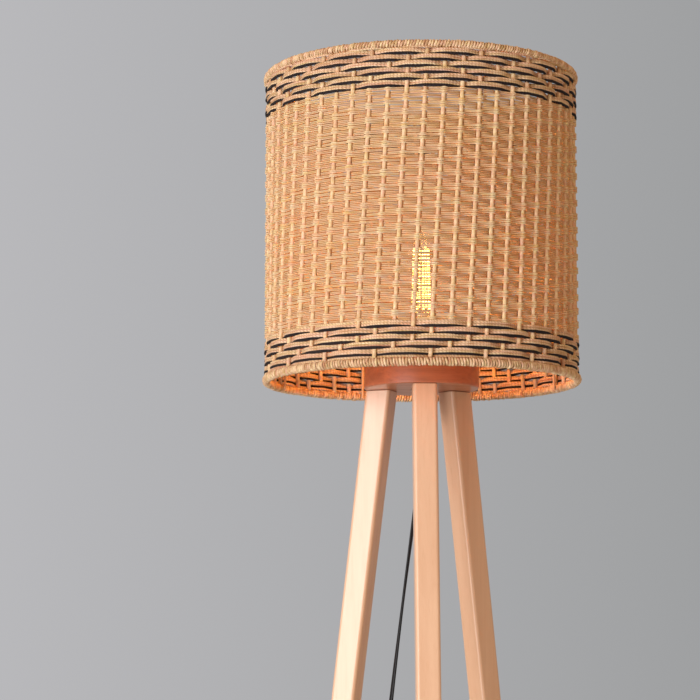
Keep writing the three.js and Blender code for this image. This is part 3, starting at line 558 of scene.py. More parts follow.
# The rim's core is coloured dark as painted shade, which shows in the gaps between the lashing's wraps.
rim_core = cane_look("rim_core_painted_shade", (0.3, 0.16, 0.08, 1), (0.2, 0.1, 0.05, 1), mottle=0.8)
painted_wire = moulded_look("painted_frame_wire", (0.68, 0.45, 0.26, 1), (0.5, 0.31, 0.17, 1), 0.42, 80, 0.03)
steel = moulded_look("zinc_plated_steel", (0.55, 0.55, 0.54, 1), grey(0.4), 0.28, 120, 0.01, metal=1.0)
pin_metal = moulded_look(
    "nickel_plated_pins", (0.62, 0.6, 0.56, 1), (0.45, 0.43, 0.4, 1), 0.2, 120, 0.01, metal=1.0)
brass = moulded_look("plain_brass", (0.6, 0.42, 0.16, 1), (0.42, 0.28, 0.1, 1), 0.3, 90, 0.01, metal=1.0)
tin = moulded_look("rolled_tin", (0.64, 0.63, 0.6, 1), (0.48, 0.47, 0.44, 1), 0.26, 90, 0.01, metal=1.0)
plastic = moulded_look("black_moulding", (0.012, 0.012, 0.014, 1), (0.035, 0.034, 0.034, 1), 0.34, 55, 0.05)
insulation = moulded_look("moulded_insulator", (0.05, 0.045, 0.04, 1), (0.1, 0.09, 0.08, 1), 0.4, 70, 0.03)
sheath = moulded_look(
    "flex_sheath", (0.007, 0.007, 0.008, 1), (0.02, 0.019, 0.019, 1), 0.4, 45, 0.03, shine=0.25)
strap = moulded_look("tie_strap_weave", (0.014, 0.014, 0.016, 1), grey(0.05), 0.8, 300, 0.25, strength=0.9)
felt = moulded_look(
    "pressed_felt", (0.08, 0.055, 0.038, 1), (0.15, 0.11, 0.08, 1), 0.9, 500, 0.4, strength=1.0)
clear_glass = glass_look()
lit_filament = filament_look()


# Camera at the photograph's viewing angle

def place_camera():
    data = bpy.data.cameras.new("photo_camera")
    data.sensor_width = 36
    data.lens = 126.7
    camera = placed("photo_camera", data)
    camera.location = (-0.4119, -2.3958, 0.8945)
    camera.rotation_euler = (math.radians(97.574), 0, math.radians(-8))
    bpy.context.scene.camera = camera


place_camera()


# The free flex. Its route repeats the CAD points, and the oval lead lies lower where it is flat.

flex_width = 5.2
flex_depth = 3.2
flex_groove_share = 0.12
section_steps = 16
route_step = 6
drop_step = 8
hanging_twist = 2.2 * math.pi
twist_low, twist_length = 60, 1000
exit_height = 1145.7
switch_x, switch_y = -40, -66
switch_length, switch_width = 82, 44
relief_length = 22
relief_height = 11.5
relief_reach = switch_length / 2 + seat_gap + relief_length
wall_reach = 35
coil_x, coil_y = 70, -28
coil_radius, coil_pitch = 38, 6
coil_layer_turns, coil_climb_turns = 2.5, 0.5
coil_turns = 2 * coil_layer_turns + coil_climb_turns
coil_low = 3.8
coil_steps_per_turn = 24
coil_stub = 5.5
edge_reach, edge_turn_steps = 8, 10
plug_x, plug_y, plug_degrees = -2, 43, 150
plug_middle = 6.9

drop_points = [
    (0, 0, exit_height), (0, 0, 1133), (-2, 0.3, 1105), (-5.2, 0.7, 1075), (-9.4, 1.3, 1042.6),
    (-19.6, 2.8, 965.2), (-30.5, 4.3, 875.6), (-45, 6.3, 750), (-60, 8.4, 600), (-72, 10.1, 450),
    (-82, 11.5, 300), (-89, 12.5, 180), (-94.5, 13.2, 90), (-99, 13.8, 42), (-108, 14, 13.5),
    (-122, 12.5, 3), (-138, 6, 1.7), (-151, -6, 1.7), (-158, -24, 1.7), (-156, -42, 2),
    (-146, -56, 4.8), (-131, -64, 8.5), (-116, -66, 11.2), (switch_x - relief_reach, switch_y, relief_height),
    (switch_x - wall_reach, switch_y, relief_height),
]
lead_points = [
    (switch_x + relief_reach, switch_y, relief_height), (31.6, -66, 10.8), (45.6, -66, 6.2), (54.8, -66, 3.9),
]
tail_points = [(53, 10.4, 9.4), (40, 13, 6), (27, 19, 3), (16, 28, 3.4), (6, 37.5, 6)]


def coil_point(turns):
    """A place on the coil, which spirals in on the floor, climbs a layer, and spirals out on top."""
    inward = coil_turns / 2 - abs(turns - coil_turns / 2)
    climb = min(max((turns - coil_layer_turns) / coil_climb_turns, 0), 1)
    rise = climb * climb * (3 - 2 * climb)
    angle = math.radians(-90 + 360 * turns)
    reach = coil_radius - coil_pitch * inward
    x, y = coil_x + reach * math.cos(angle), coil_y + reach * math.sin(angle)
    return spot(x, y, coil_low + coil_pitch * rise)


def flex_section():
    """The twin flex in section: two cores side by side under one sheath, with a shallow groove each side."""
    outline = []
    for step in range(section_steps):
        angle = step * 2 * math.pi / section_steps
        pinch = 1 - flex_groove_share * abs(math.sin(angle)) ** 6
        outline.append((flex_width / 2 * math.cos(angle), flex_depth / 2 * math.sin(angle) * pinch))
    return outline


def hanging_turns(route):
    """The tilt of the hanging flex, which turns slowly and then lies flat."""
    return [hanging_twist * min(max((place.z / mm - twist_low) / twist_length, 0), 1) for place in route]


def build_flex():
    drop = smooth_route([spot(*point) for point in drop_points], drop_step * mm)
    drop_mesh = closed_up(tubes([drop], twist="Z_UP", section=flex_section(), turns=hanging_turns(drop)))
    drop_piece = keep("flex_to_switch", drop_mesh, sheath, "flex", "cord_drop", sharp=None)

    steps = round(coil_turns * coil_steps_per_turn)
    coil = [coil_point(coil_turns * i / steps) for i in range(steps + 1)]
    start = spot(switch_x + wall_reach, switch_y, relief_height)
    end = spot(plug_x, plug_y, plug_middle)
    stub = Vector((coil_stub * mm, 0, 0))
    lead = [start, *(spot(*point) for point in lead_points), coil[0] - stub, coil[0]]
    tail = [coil[-1], coil[-1] - stub, *(spot(*point) for point in tail_points), end]
    lead, tail = smooth_route(lead, route_step * mm), smooth_route(tail, route_step * mm)
    route = lead[:-1] + coil + tail[1:]
    turns = []
    for index in range(len(route)):
        inside = min(index - len(lead), len(lead) + steps - index) + edge_reach
        turns.append(math.pi / 2 * min(max(inside / edge_turn_steps, 0), 1))
    lower_mesh = closed_up(tubes([route], twist="Z_UP", section=flex_section(), turns=turns))
    lower_piece = keep(
        "flex_to_plug", lower_mesh, sheath, "flex", "cord_lead", "cord_coil", "cord_tail", sharp=None)
    return drop_piece, drop, lower_piece, route


drop_piece, drop_route, plug_lead, plug_route = build_flex()


# Woven drum

stake_count = 54
half_round = stake_count // 2
stake_radius, stake_end_gap, stake_steps = 2.1, 2.5, 12
stake_sway_degrees, stake_sway_length = 0.12, 40
first_stake_degrees = -98 + 0.4
stake_lean, lean_pivot = 0.02037, 281
rim_radius, bottom_rim, top_rim = 155.3, 1188.9, 1495.4


def stake_degrees(index, height):
    """The direction of a stake, which leans a little, at a height above the bottom rim."""
    return first_stake_degrees + index * 360 / stake_count + stake_lean * (height - lean_pivot)


def wander(size):
    """A small slow wave round the drum, the sum of a long and a short one."""
    waves = [
        (random.randint(fewest, most), random.uniform(0, 6.28), depth)
        for fewest, most, depth in ((2, 5, size), (6, 13, size / 2))
    ]
    return lambda share: sum(
        depth * math.sin(times * 2 * math.pi * share + start) for times, start, depth in waves)


strand_shares = (0, 0.07, 0.21, 0.79, 0.93)
cord_shares = (0, 0.15, 0.38, 0.62, 0.85)
grip_end, grip_fall = 0.22, 0.17
wave_share = 0.4


def tight_grip(share):
    """How far a fine strand still lies out at a share of the way to the next stake."""
    return min(max((grip_end - share) / grip_fall, 0), 1)


def stiff_grip(share):
    """The same for a stiff cord, which bends slowly."""
    return 1 - share * share * (3 - 2 * share)


def woven_ring(height, reach, behind, grip, shares, slack):
    """The route of one strand round the drum, inside the stakes where behind says so.
    Slack is how far its free spans stray up and down."""
    swings = [-reach if behind(index - half_round) else reach for index in range(stake_count)]
    wave = wander(slack * wave_share)
    route = []
    for index in range(stake_count):
        here, there = swings[index], swings[(index + 1) % stake_count]
        stray = random.uniform(-slack, slack)
        for share in shares:
            radius = stake_ring_radius + here * grip(share) + there * grip(1 - share)
            rise = wave((index + share) / stake_count) + stray * math.sin(math.pi * share)
            degrees = stake_degrees(index - half_round + share, height)
            route.append(round_spot(radius, degrees, bottom_rim + height + rise))
    return route


def build_stakes():
    run = top_rim - bottom_rim - 2 * stake_end_gap
    heights = [stake_end_gap + step * run / stake_steps for step in range(stake_steps + 1)]
    routes = []
    for index in range(-half_round, half_round):
        sway = random.uniform(-stake_sway_degrees, stake_sway_degrees)
        turns = [stake_degrees(index, h) + sway * math.sin(h / stake_sway_length) for h in heights]
        routes.append([
            round_spot(stake_ring_radius, turn, bottom_rim + h) for turn, h in zip(turns, heights)])
    stakes = closed_up(tubes(routes, stake_radius, 8, twist="Z_UP"))
    keep("shade_stakes", stakes, stake_cane, "woven_cane", sharp=None)


body_piece_rows = (0, 16, 32, 48, 65)
body_low, body_row_pitch = 39.5, 3.465
strand_radius, strand_pitch, strand_slack = 0.8, 1.56, 0.26


def build_body_weave():
    """The open 2/2 twill between the bands, each row a pair of fine strands."""
    for number, (first, last) in enumerate(zip(body_piece_rows, body_piece_rows[1:]), 1):
        routes = []
        for row in range(first, last):
            height = body_low + body_row_pitch * (row + 0.5)
            for side in (-0.5, 0.5):
                routes.append(woven_ring(
                    height + side * strand_pitch, stake_radius + strand_radius,
                    lambda stake: (row - stake) % 4 in (0, 1), tight_grip, strand_shares, strand_slack,
                ))
        mesh = tubes(routes, strand_radius, 6, closed=True, twist="Z_UP")
        nodes = ["woven_wall"] if number == 1 else []
        keep(f"shade_weave_{number}", mesh, body_cane, "woven_cane", *nodes, sharp=None)


band_swing = 2.55
natural_section, natural_slack, natural_rises = (0.95, 1.36), 0.1, (0.34, 0.68)
black_section, black_slack = (1.3, 1.55), 0.08
thin_share, thin_reach = 0.58, 1.1


def oval(half_width, half_height, sides=8):
    angles = [2 * math.pi * side / sides for side in range(sides)]
    return [(half_width * math.cos(angle), half_height * math.sin(angle)) for angle in angles]


def fullness(place, hidden):
    """How full a black cord is at a place counted in stakes: thin where it goes behind a stake."""
    away = (place - hidden) % 3
    away = min(min(away, 3 - away) / thin_reach, 1)
    return thin_share + (1 - thin_share) * away * away * (3 - 2 * away)


def band_cord(height, hidden, slack):
    """The route of a cord that goes over two stakes and behind the third."""
    return woven_ring(height, band_swing, lambda stake: stake % 3 == hidden, stiff_grip, cord_shares, slack)


def build_band(name, top_row, pitch, hidden_stakes, extra):
    """A close band, each row a black cord under two natural ones, with one extra natural cord."""
    rows = [(top_row - pitch * number, hidden) for number, hidden in enumerate(hidden_stakes)]
    natural, black = [], bmesh.new()
    for height, hidden in rows:
        natural += [band_cord(height + pitch * rise, hidden, natural_slack) for rise in natural_rises]
    natural.append(band_cord(*extra, natural_slack))
    for height, hidden in rows:
        route = band_cord(height, hidden, black_slack)
        sizes = [
            fullness(stake - half_round + share, hidden)
            for stake in range(stake_count) for share in cord_shares
        ]
        black.from_mesh(tubes([route], closed=True, twist="Z_UP", section=oval(*black_section), sizes=sizes))
    cords = tubes(natural, closed=True, twist="Z_UP", section=oval(*natural_section))
    keep(f"{name}_cords", cords, band_cane, "banded_cane", name, sharp=None)
    keep(f"{name}_black_cords", black, black_cane, "banded_cane", sharp=None)


wrap_count = 340
wrap_half_width, wrap_half_height = 0.98, 1.26
wrap_loose_degrees, wrap_smallest, wrap_largest = 4.5, 0.93, 1.1
rim_core_radius = 2.9


def at_rim(height, degrees):
    """Moves a section from the origin to a rim, tilted about the way out."""
    tilt = rotation("X", degrees)
    return shift(rim_radius, 0, height) @ tilt


def build_lashing(name, node, height, lean, reach):
    """Split cane wound round a rim, one slanting wrap beside the next."""
    shape = bmesh.new()
    bmesh.ops.create_circle(shape, segments=6, radius=1)
    flat = Matrix.Diagonal((wrap_half_width * mm, wrap_half_height * mm, 1, 1))
    moved(shape, shift(reach) @ flat)
    moved(spun(shape, (0, 1, 0), 12), at_rim(height, lean))
    each = len(shape.verts)
    bmesh.ops.spin(
        shape, geom=shape.verts[:] + shape.edges[:] + shape.faces[:], cent=(0, 0, 0), axis=UP, dvec=(0, 0, 0),
        angle=2 * math.pi * (wrap_count - 1) / wrap_count, steps=wrap_count - 1, use_duplicate=True,
    )
    shape.verts.ensure_lookup_table()
    for index in range(wrap_count):
        wrap = shape.verts[index * each:(index + 1) * each]
        middle = sum((vert.co for vert in wrap), Vector()) / each
        out = Vector((middle.x, middle.y, 0)).normalized()
        loose = rotation(out, random.gauss(0, wrap_loose_degrees))
        size = Matrix.Scale(random.uniform(wrap_smallest, wrap_largest), 4)
        bmesh.ops.transform(shape, matrix=loose @ size, space=Matrix.Translation(-middle), verts=wrap)
    keep(name, on_axis(shape), lashing_cane, "lashing_cane", node, sharp=None)


# The core of a rim inside its wraps, in the dark painted-shade colour that shows between them.
def build_rim_core(name, node, height):
    shape = bmesh.new()
    bmesh.ops.create_circle(shape, segments=12, radius=rim_core_radius * mm)
    spun(moved(shape, at_rim(height, 90)), UP, 216)
    keep(name, on_axis(shape), rim_core, "frame_wire", node, sharp=None)


upright_ring_radius, upright_radius, arm_radius, arm_start = 149.1, 1.3, 2, 30
upright_low, upright_high = 1185.8, 1498.5
plate_low, plate_high = 1224.3, 1225.9


def upright_route(degrees):
    low, high = upright_low + 1, upright_high - 1
    heights = (low, low + 21, (low + high) / 2, high - 21, high)
    return smooth_route([round_spot(upright_ring_radius, degrees, height) for height in heights], 30 * mm)


def build_frame():
    """Eight upright wires. Every second one is welded to an arm of the carrier."""
    arms, carried = [], []
    arm_height = (plate_low + plate_high) / 2
    for number in range(8):
        degrees = 15 + 45 * number
        upright = upright_route(degrees)
        if number % 2:
            ends = (arm_start, upright_ring_radius)
            arms.append([round_spot(reach, degrees, arm_height) for reach in ends])
            carried.append(upright)
        else:
            wire = number // 2 + 1
            mesh = closed_up(tubes([upright], upright_radius, 12))
            keep(f"frame_wire_{wire}", mesh, painted_wire, "frame_wire", f"frame_upright_{wire}", sharp=0.9)
    plate = soften(turned(ring_section(19.6, 31, plate_low, plate_high), 72, closed=True), 0.4)
    keep("carrier_plate", on_axis(plate), painted_wire, "frame_wire", "shade_carrier")
    arm_mesh = closed_up(tubes(arms, arm_radius, 12, twist="Z_UP"))
    keep("carrier_arms", arm_mesh, painted_wire, "frame_wire", sharp=0.9)
    carried_mesh = closed_up(tubes(carried, upright_radius, 12))
    keep("carrier_uprights", carried_mesh, painted_wire, "frame_wire", sharp=0.9)


build_stakes()
build_body_weave()
build_band("lower_band", top_row=34, pitch=6.65, hidden_stakes=(0, 1, 0, 2, 1), extra=(5.2, 1))
build_band("upper_band", top_row=297, pitch=6.28, hidden_stakes=(0, 2, 1, 2, 0, 2), extra=(303.1, 1))
build_lashing("lower_lashing_wraps", "lower_rim_lashing", bottom_rim, lean=12, reach=3.4)
build_lashing("upper_lashing_wraps", "upper_rim_lashing", top_rim, lean=-24, reach=3.1)
build_rim_core("lower_rim_core", "lower_frame_ring", bottom_rim)
build_rim_core("upper_rim_core", "upper_frame_ring", top_rim)
build_frame()


# Tripod

leg_degrees = {"front": -96, "right": 30, "left": 150}
leg_low, leg_high = 3.3, 1180.1
leg_top_reach, leg_foot_reach = 43, 190
leg_top_depth, leg_top_width, leg_foot_depth, leg_foot_width = 26.5, 24, 20, 22.5
hub_bottom, hub_top, hub_radius = 1180.4, 1208.4, 57.5
screw_reach, screw_top = 38, hub_top - seat_gap
nipple_hole = 5.3


def side_turn(side):
    return rotation("Z", leg_degrees[side])


def build_leg(side):
    """A leg, which leans out and narrows to its foot, with its pad and its screw."""
    place = Matrix.Translation(lamp_axis) @ side_turn(side)
    leg = block(leg_top_depth, leg_top_width, leg_low, leg_high, 3.6)
    foot = [vert for vert in leg.verts if vert.co.z < leg_high / 2 * mm]
    bmesh.ops.scale(leg, vec=(leg_foot_depth / leg_top_depth, leg_foot_width / leg_top_width, 1), verts=foot)
    soften(leg, 0.7, 2, 1.2)
    lean = Matrix.Identity(4)
    lean[0][2] = (leg_top_reach - leg_foot_reach) / hub_bottom
    lean[0][3] = leg_foot_reach * mm
    keep(f"leg_{side}_beech", moved(leg, place @ lean), beech, "leg_wood", f"leg_{side}")
    pad = soften(turned(ring_section(0, 8, 0, 3), 40), 0.5)
    moved(pad, place @ shift(leg_foot_reach))
    keep(f"felt_{side}", pad, felt, "felt", f"foot_pad_{side}")
    shank = turned([(0, 1138), (2.5, 1138), (2.5, screw_top - 3), (5.5, screw_top), (0, screw_top)], 32)
    drive = block(3.4, 3.4, screw_top - 2.7, screw_top + cut_overrun, 0.2, 1)
    screw = cut(shank, moved(drive, rotation("Z", 45)))
    moved(screw, place @ shift(screw_reach))
    keep(f"screw_{side}", screw, steel, "steel", f"leg_screw_{side}")


def build_hub():
    """The turned disc, cut for the lampholder's cup, the threaded tube and the screws."""
    below, above = hub_bottom - cut_overrun, hub_top + cut_overrun
    disc = soften(turned(ring_section(0, hub_radius, hub_bottom, hub_top), 120), 1.6, 3)
    tools = [
        turned(ring_section(0, 18.6, 1198.4, above), 64),
        turned(ring_section(0, nipple_hole, below, above), 32),
    ]
    for side in leg_degrees:
        mouth = [(0, below), (2.8, below), (2.8, 1204.9), (5.8, 1208), (5.8, above), (0, above)]
        tools.append(moved(turned(mouth, 32), side_turn(side) @ shift(screw_reach)))
    keep("hub_turned_disc", on_axis(cut(disc, *tools)), hub_stain, "hub_wood", "hub_disc")


nut_low, nut_thickness = 1174.3, 4
gland_low, gland_shoulder, gland_high = 1146, 1165, 1174
gland_rib = ((0, 0), (0.1, 1.7), (-0.7, 1.9), (-0.5, 3.0))


def build_mains_path():
    """The threaded tube with its washer and nut, and the gland that the flex hangs from."""
    tube = soften(turned(ring_section(3.4, 5, 1167.4, 1201.5), 40, closed=True), 0.3)
    keep("threaded_tube", on_axis(tube), steel, "steel", "nipple")
    washer = soften(turned(ring_section(nipple_hole, 11, 1178.6, 1180.1), 48, closed=True), 0.3)
    keep("hub_washer", on_axis(washer), steel, "steel", "nipple_washer")
    nut = bmesh.new()
    bmesh.ops.create_circle(nut, cap_ends=True, segments=6, radius=8.5 * mm)
    moved(nut, shift(z=nut_low))
    raised = bmesh.ops.extrude_face_region(nut, geom=nut.faces[:])["geom"]
    raised = [vert for vert in raised if isinstance(vert, bmesh.types.BMVert)]
    bmesh.ops.translate(nut, vec=(0, 0, nut_thickness * mm), verts=raised)
    bmesh.ops.recalc_face_normals(nut, faces=nut.faces)
    bore = ring_section(0, nipple_hole, nut_low - cut_overrun, nut_low + nut_thickness + cut_overrun)
    keep("hub_nut", on_axis(cut(soften(nut, 0.4), turned(bore, 32))), steel, "steel", "nipple_nut")
    first_rib, rib_pitch = gland_low + 1.5, 3.2
    gland = [(3.1, gland_low), (4.4, gland_low)]
    gland += ribs(5, first_rib, rib_pitch, lambda low: 4.5 + 0.6 * (low - first_rib) / rib_pitch, gland_rib)
    gland += [
        (7.5, gland_shoulder), (7.5, gland_high), (nipple_hole, gland_high), (nipple_hole, gland_shoulder),
        (3.1, gland_shoulder),
    ]
    gland = on_axis(turned(gland, 40, closed=True))
    keep("flex_gland", gland, plastic, "black_plastic", "cord_gland", sharp=0.6)


for side in leg_degrees:
    build_leg(side)
build_hub()
build_mains_path()


# Lampholder and bulb

cup_section = (
    (nipple_hole, 1198.7), (15.5, 1198.7), (17.6, 1199.8), (18, 1202), (18, 1217.7), (15.5, 1217.7),
    (15.5, 1201.2), (nipple_hole, 1201.2),
)
sleeve_foot = ((14.8, 1218), (19.3, 1218), (19.3, 1221), (23, 1221), (23, 1224), (19, 1224))
sleeve_rib = ((0, 0), (0.35, 0.7), (0.35, 1.3), (0, 2.0))
clamp_rib_degrees, clamp_flat_degrees = 20, 10.5
clamp_grip_radius, clamp_groove = 24, 1.2


def build_lampholder():
    cup = on_axis(soften(turned(cup_section, 64, closed=True), 0.4))
    keep("holder_cup", cup, plastic, "black_plastic", "lampholder_cup")
    thread = ribs(8, 1224.6, 2.5, lambda low: 19, sleeve_rib)
    sleeve = on_axis(turned([*sleeve_foot, *thread, (19, 1245.5), (14.8, 1245.5)], 72, closed=True))
    keep("holder_sleeve", sleeve, plastic, "black_plastic", "lampholder_sleeve", sharp=0.5)
    clamp = soften(turned(ring_section(19.7, 27.5, 1226.2, 1234.2), 144, closed=True), 0.6)
    for vert in clamp.verts:
        degrees = math.degrees(math.atan2(vert.co.y, vert.co.x)) % clamp_rib_degrees
        reach = vert.co.xy.length
        if reach > clamp_grip_radius * mm and degrees > clamp_flat_degrees:
            vert.co.xy *= (reach - clamp_groove * mm) / reach
    keep("clamp_ring_ribbed", on_axis(clamp), plastic, "black_plastic", "shade_clamp_ring", body="clamp")


neck_radius, bulb_radius = 12.8, 32
glass_low, glass_widest, glass_high = 1240.9, 1316.6, 1354.6
swell_places = ((0, 0), (0.1, 0.05), (0.25, 0.22), (0.45, 0.53), (0.65, 0.81), (0.85, 0.97), (1, 1))
cap_low, thread_pitch, thread_depth, thread_radius = 1218.6, 3.629, 0.35, 12.4
cap_top = ((12.5, 1234.2), (13.1, 1236), (13.1, 1240.6), (11.9, 1240.6), (11.9, cap_low))
stem_section = (
    (0, 1218.9), (11, 1218.9), (11, 1226), (8.6, 1229.5), (5.6, 1233), (4.3, 1237), (4, 1241.4),
    (3.4, 1245.5), (2.6, 1248), (1.4, 1248.9), (0, 1248.9),
)
rod_foot, rod_head = (9.2, 1258.6), (7.4, 1326.6)
mast_low, wire_fork, wire_hub = 1249.2, 1252, 1326.3
rod_inset, wire_lap = 3, 4


def glass_profile(wall, steps=22):
    """Half the bulb in section, from its neck to the middle of its round top."""
    neck, widest, top = neck_radius - wall, bulb_radius - wall, glass_high - wall
    points = [
        Vector((neck + (widest - neck) * swell, 0, glass_low + (glass_widest - glass_low) * rise))
        for rise, swell in swell_places
    ]
    profile = [(place.x, place.z) for place in smooth_route(points, 4)]
    for step in range(1, steps):
        angle = step / steps * math.pi / 2
        profile.append((widest * math.cos(angle), glass_widest + (top - glass_widest) * math.sin(angle)))
    return profile + [(0, top)]


def build_bulb():
    glass = on_axis(turned(glass_profile(1)[::-1] + glass_profile(0), 72))
    keep("bulb_envelope", glass, clear_glass, "clear_glass", "bulb_glass", body="bulb", sharp=None)

    thread = []
    for step in range(4 * 12 + 1):
        crest = thread_depth * (1 - math.cos(2 * math.pi * step / 12))
        thread.append((thread_radius + crest, cap_low + thread_pitch * step / 12))
    cap = on_axis(turned([*thread, *cap_top], 72, closed=True))
    keep("bulb_screw_cap", cap, tin, "tin", "bulb_cap", body="bulb", sharp=None)

    stem = on_axis(turned(stem_section, 40))
    keep("bulb_glass_stem", stem, clear_glass, "clear_glass", "bulb_stem", body="bulb", sharp=None)

    rods, wires = [], [[spot(0, 0, mast_low), spot(0, 0, rod_head[1])]]
    for index in range(8):
        degrees = 22.5 + 45 * index
        foot, head = (round_spot(reach, degrees, height) for reach, height in (rod_foot, rod_head))
        along = (head - foot).normalized() * mm
        rods.append([foot + along * rod_inset, head - along * rod_inset])
        wires.append([spot(0, 0, wire_hub), head, head - along * wire_lap])
        wires.append([foot + along * wire_lap, foot, spot(0, 0, wire_fork)])
    rod_mesh = closed_up(tubes(rods, 0.95, 8))
    keep("filament_rods", rod_mesh, lit_filament, "filament", "bulb_filaments", body="bulb")
    keep("filament_wires", closed_up(tubes(wires, 0.3, 6)), steel, "steel", body="bulb")


build_lampholder()
build_bulb()


# Foot switch, tie and plug

switch_corner = 14
base_high, cover_low, cover_high = 7, 7.3, 22
button_section = (
    (0, 17.2), (17.5, 17.2), (17.5, 19.2), (15, 19.2), (15, 25.2), (14.6, 26.2), (13.6, 26.8), (12, 27),
)
button_groove = ((0, 27), (-0.3, 26.5), (-1.2, 26.5), (-1.5, 27))
relief_rib = ((0, 0), (-0.05, 2), (-0.8, 2.2), (-0.85, 3.1))


def housing(wall, low, high, steps):
    """A block that lies a wall's thickness inside the switch's outline."""
    return block(switch_length - 2 * wall, switch_width - 2 * wall, low, high, switch_corner - wall, steps)


def build_switch():
    place = Matrix.Translation(spot(switch_x, switch_y, 0))
    base = soften(housing(0, 0, base_high, 10), 0.6, 2, 1.0)
    hollow = housing(2.5, 2.5, base_high + cut_overrun, 8)
    keep("switch_foot", moved(cut(base, hollow), place), plastic, "black_plastic", "switch_base")
    cover = housing(0, cover_low, cover_high, 10)
    top = [edge for edge in cover.edges if all(vert.co.z > (cover_high - 1) * mm for vert in edge.verts)]
    bmesh.ops.bevel(cover, geom=top, offset=4.5 * mm, segments=5, profile=0.5, affect="EDGES", material=-1)
    inside = housing(3.5, cover_low - cut_overrun, cover_high - 2.5, 8)
    hole = turned(ring_section(0, 15.5, cover_high - 2 * cut_overrun, cover_high + cut_overrun), 56)
    cover = moved(cut(cover, inside, hole), place)
    keep("switch_top_cover", cover, plastic, "black_plastic", "switch_cover", sharp=0.6)
    grooves = [(11.2 - number * 2.4 + out, height) for number in range(4) for out, height in button_groove]
    button = moved(turned([*button_section, *grooves, (0, 27)], 64), place)
    keep("switch_press_button", button, plastic, "black_plastic", "switch_button", body="button", sharp=0.6)
    sleeve = ribs(6, 1.5, 3.3, lambda low: 5 - 1.3 * low / relief_length, relief_rib)
    sleeve = [(0, 0), (5, 0), *sleeve, (3.6, relief_length - 0.4), (3.4, relief_length), (0, relief_length)]
    for name, side in (("relief_in", -1), ("relief_out", 1)):
        seat = shift(side * (switch_length / 2 + seat_gap), 0, relief_height)
        relief = moved(turned(sleeve, 32), place @ seat @ rotation("Y", side * 90))
        keep(f"switch_{name}_sleeve", relief, plastic, "black_plastic", f"switch_{name}", sharp=0.5)


def build_tie():
    """The strap round one side of the coil, drawn flat, stood up and turned to its place."""
    reach, middle, low, high = 12.35, 29.75, 0.45, 13.15
    corners = (
        (reach, 2.5), (reach, high - 2), (reach - 2, high), (2 - reach, high), (-reach, high - 2),
        (-reach, 2.5), (2 - reach, low), (reach - 2, low),
    )
    outline = [Vector((x, z, 0)) * mm for x, z in corners]
    section = ring_section(-0.45, 0.45, -6, 6)
    shape = closed_up(tubes([outline], section=section, closed=True, twist="Z_UP"))
    moved(shape, rotation("X", 90))
    turn = rotation("Z", 200)
    moved(shape, Matrix.Translation(spot(coil_x, coil_y, 0)) @ turn @ shift(middle))
    return keep("coil_strap", shape, strap, "tie_strap", "coil_tie")


plug_length, plug_centre, plug_relief_length = 36, 42.3, 24
plug_rib = ((-0.5, 0), (-0.5, 1.0), (0.1, 1.2), (0.15, 3.2))
pin_section = ((0, 54.3), (2, 54.3), (2, 76.8), (1.7, 78.4), (1, 79.2), (0, 79.3))


def build_plug():
    """The plug, drawn along X from the end of the flex and turned to its place."""
    place = Matrix.Translation(spot(plug_x, plug_y, 0)) @ rotation("Z", plug_degrees)
    lying = rotation("Y", 90)
    body = soften(block(plug_length, 26, 0, 2 * plug_middle, 5), 1.8, 3, 1.0)
    for vert in body.verts:
        share = vert.co.x / (plug_length / 2 * mm)
        vert.co.y *= 1 - 0.16 * max(0, 1 - abs(share + 0.25) * 1.6)
    moved(body, place @ shift(plug_centre))
    sleeve = ribs(6, 1.5, 3.6, lambda low: 3.6 + 1.7 * low / plug_relief_length, plug_rib)
    relief = turned([(0, 0), (3.6, 0), *sleeve, (5.6, 25), (5.6, 28), (0, 28)], 32)
    moved(relief, place @ shift(seat_gap, 0, plug_middle) @ lying)
    pieces = [
        keep("plug_moulding", body, plastic, "black_plastic", "plug_body", sharp=0.6),
        keep("plug_sleeve", relief, plastic, "black_plastic", sharp=0.5),
    ]
    for number, side in ((1, 1), (2, -1)):
        seat = shift(0, side * 9.3, plug_middle)
        pin = moved(turned(pin_section, 24), place @ seat @ lying)
        pieces.append(keep(f"plug_round_pin_{number}", pin, pin_metal, "pin_metal", f"plug_pin_{number}"))
    return pieces


build_switch()
coil_strap = build_tie()
plug_pieces = build_plug()


# Hidden CAD nodes that stay

for look, names in (
    (sheath, ("inner_cord",)),
    (beech, ("dowel_front", "dowel_right", "dowel_left")),
    (insulation, ("lampholder_block", "bulb_insulator", "switch_contact_block", "switch_plunger")),
    (brass, ("lampholder_shell", "lampholder_contact")),
    (tin, ("bulb_tip",)),
    (steel, ("switch_screw_1", "switch_screw_2")),
):
    for name in names:
        for slot_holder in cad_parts[name].material_slots:
            slot_holder.material = look


# Floor, world and lights

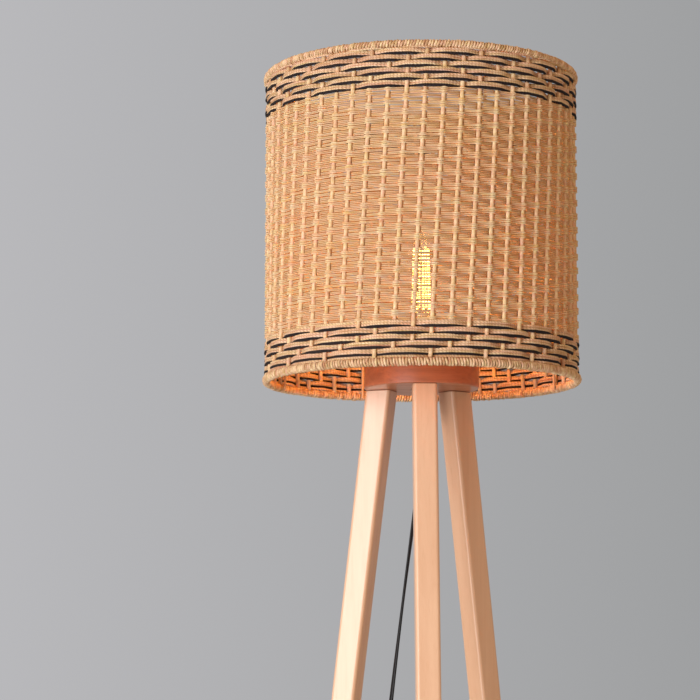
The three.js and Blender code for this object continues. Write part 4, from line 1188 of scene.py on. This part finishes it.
def plain_floor():
    shape = bmesh.new()
    bmesh.ops.create_circle(shape, cap_ends=True, segments=128, radius=9)
    floor = placed("floor", mesh_from(shape))
    floor.location.z = -0.0005
    look, tree, out, place = new_look("pale_floor")
    surface = put(tree, "ShaderNodeBsdfPrincipled", {"Base Color": (0.6, 0.69, 0.78, 1), "Roughness": 0.8})
    tree.links.new(surface.outputs[0], out.inputs[0])
    floor.data.materials.append(look)


def soft_world():
    world = bpy.data.worlds.new("studio")
    bpy.context.scene.world = world
    world.use_nodes = True
    tree = world.node_tree
    tree.nodes.clear()
    path = put(tree, "ShaderNodeLightPath").outputs
    seen = added(tree, path["Is Camera Ray"], path["Is Glossy Ray"])
    seen = added(tree, seen, path["Is Transmission Ray"], clamp=True)
    light = put(tree, "ShaderNodeBackground", {"Color": (1.0, 0.66, 0.4, 1), "Strength": 0.6})
    across = put(tree, "ShaderNodeSeparateXYZ", {0: put(tree, "ShaderNodeTexCoord").outputs["Generated"]})
    share = ranged(tree, across.outputs[0], -0.1, 0.3)
    tone = blend_of(tree, share, (0.53, 0.526, 0.545, 1), (0.336, 0.341, 0.346, 1))
    backdrop = put(tree, "ShaderNodeBackground", {"Color": tone, "Strength": 1.0})
    mixed = put(tree, "ShaderNodeMixShader", {0: seen, 1: light.outputs[0], 2: backdrop.outputs[0]})
    tree.links.new(mixed.outputs[0], put(tree, "ShaderNodeOutputWorld").inputs[0])


def area_light(name, place, target, size, power, colour):
    data = bpy.data.lights.new(name, "AREA")
    data.shape = "DISK"
    data.size = size
    data.energy = power
    data.color = colour
    lamp = placed(name, data)
    lamp.location = place
    lamp.rotation_euler = (Vector(target) - Vector(place)).to_track_quat("-Z", "Y").to_euler()


def bulb_light(name, height, power, size, colour):
    data = bpy.data.lights.new(name, "POINT")
    data.energy = power
    data.color = colour
    data.shadow_soft_size = size
    lamp = placed(name, data)
    lamp.location = spot(0, 0, height)
    lamp.visible_camera = lamp.visible_transmission = lamp.visible_glossy = False


plain_floor()
soft_world()
area_light(
    "key", place=(-2.05, -1.95, 1.0), target=(0, 0, 1.1), size=2.0, power=68, colour=(0.98, 0.98, 1.0))
bulb_light("filament_light", height=1292, power=1.25, size=0.015, colour=(1.0, 0.31, 0.035))
bpy.context.scene.view_settings.view_transform = "Standard"
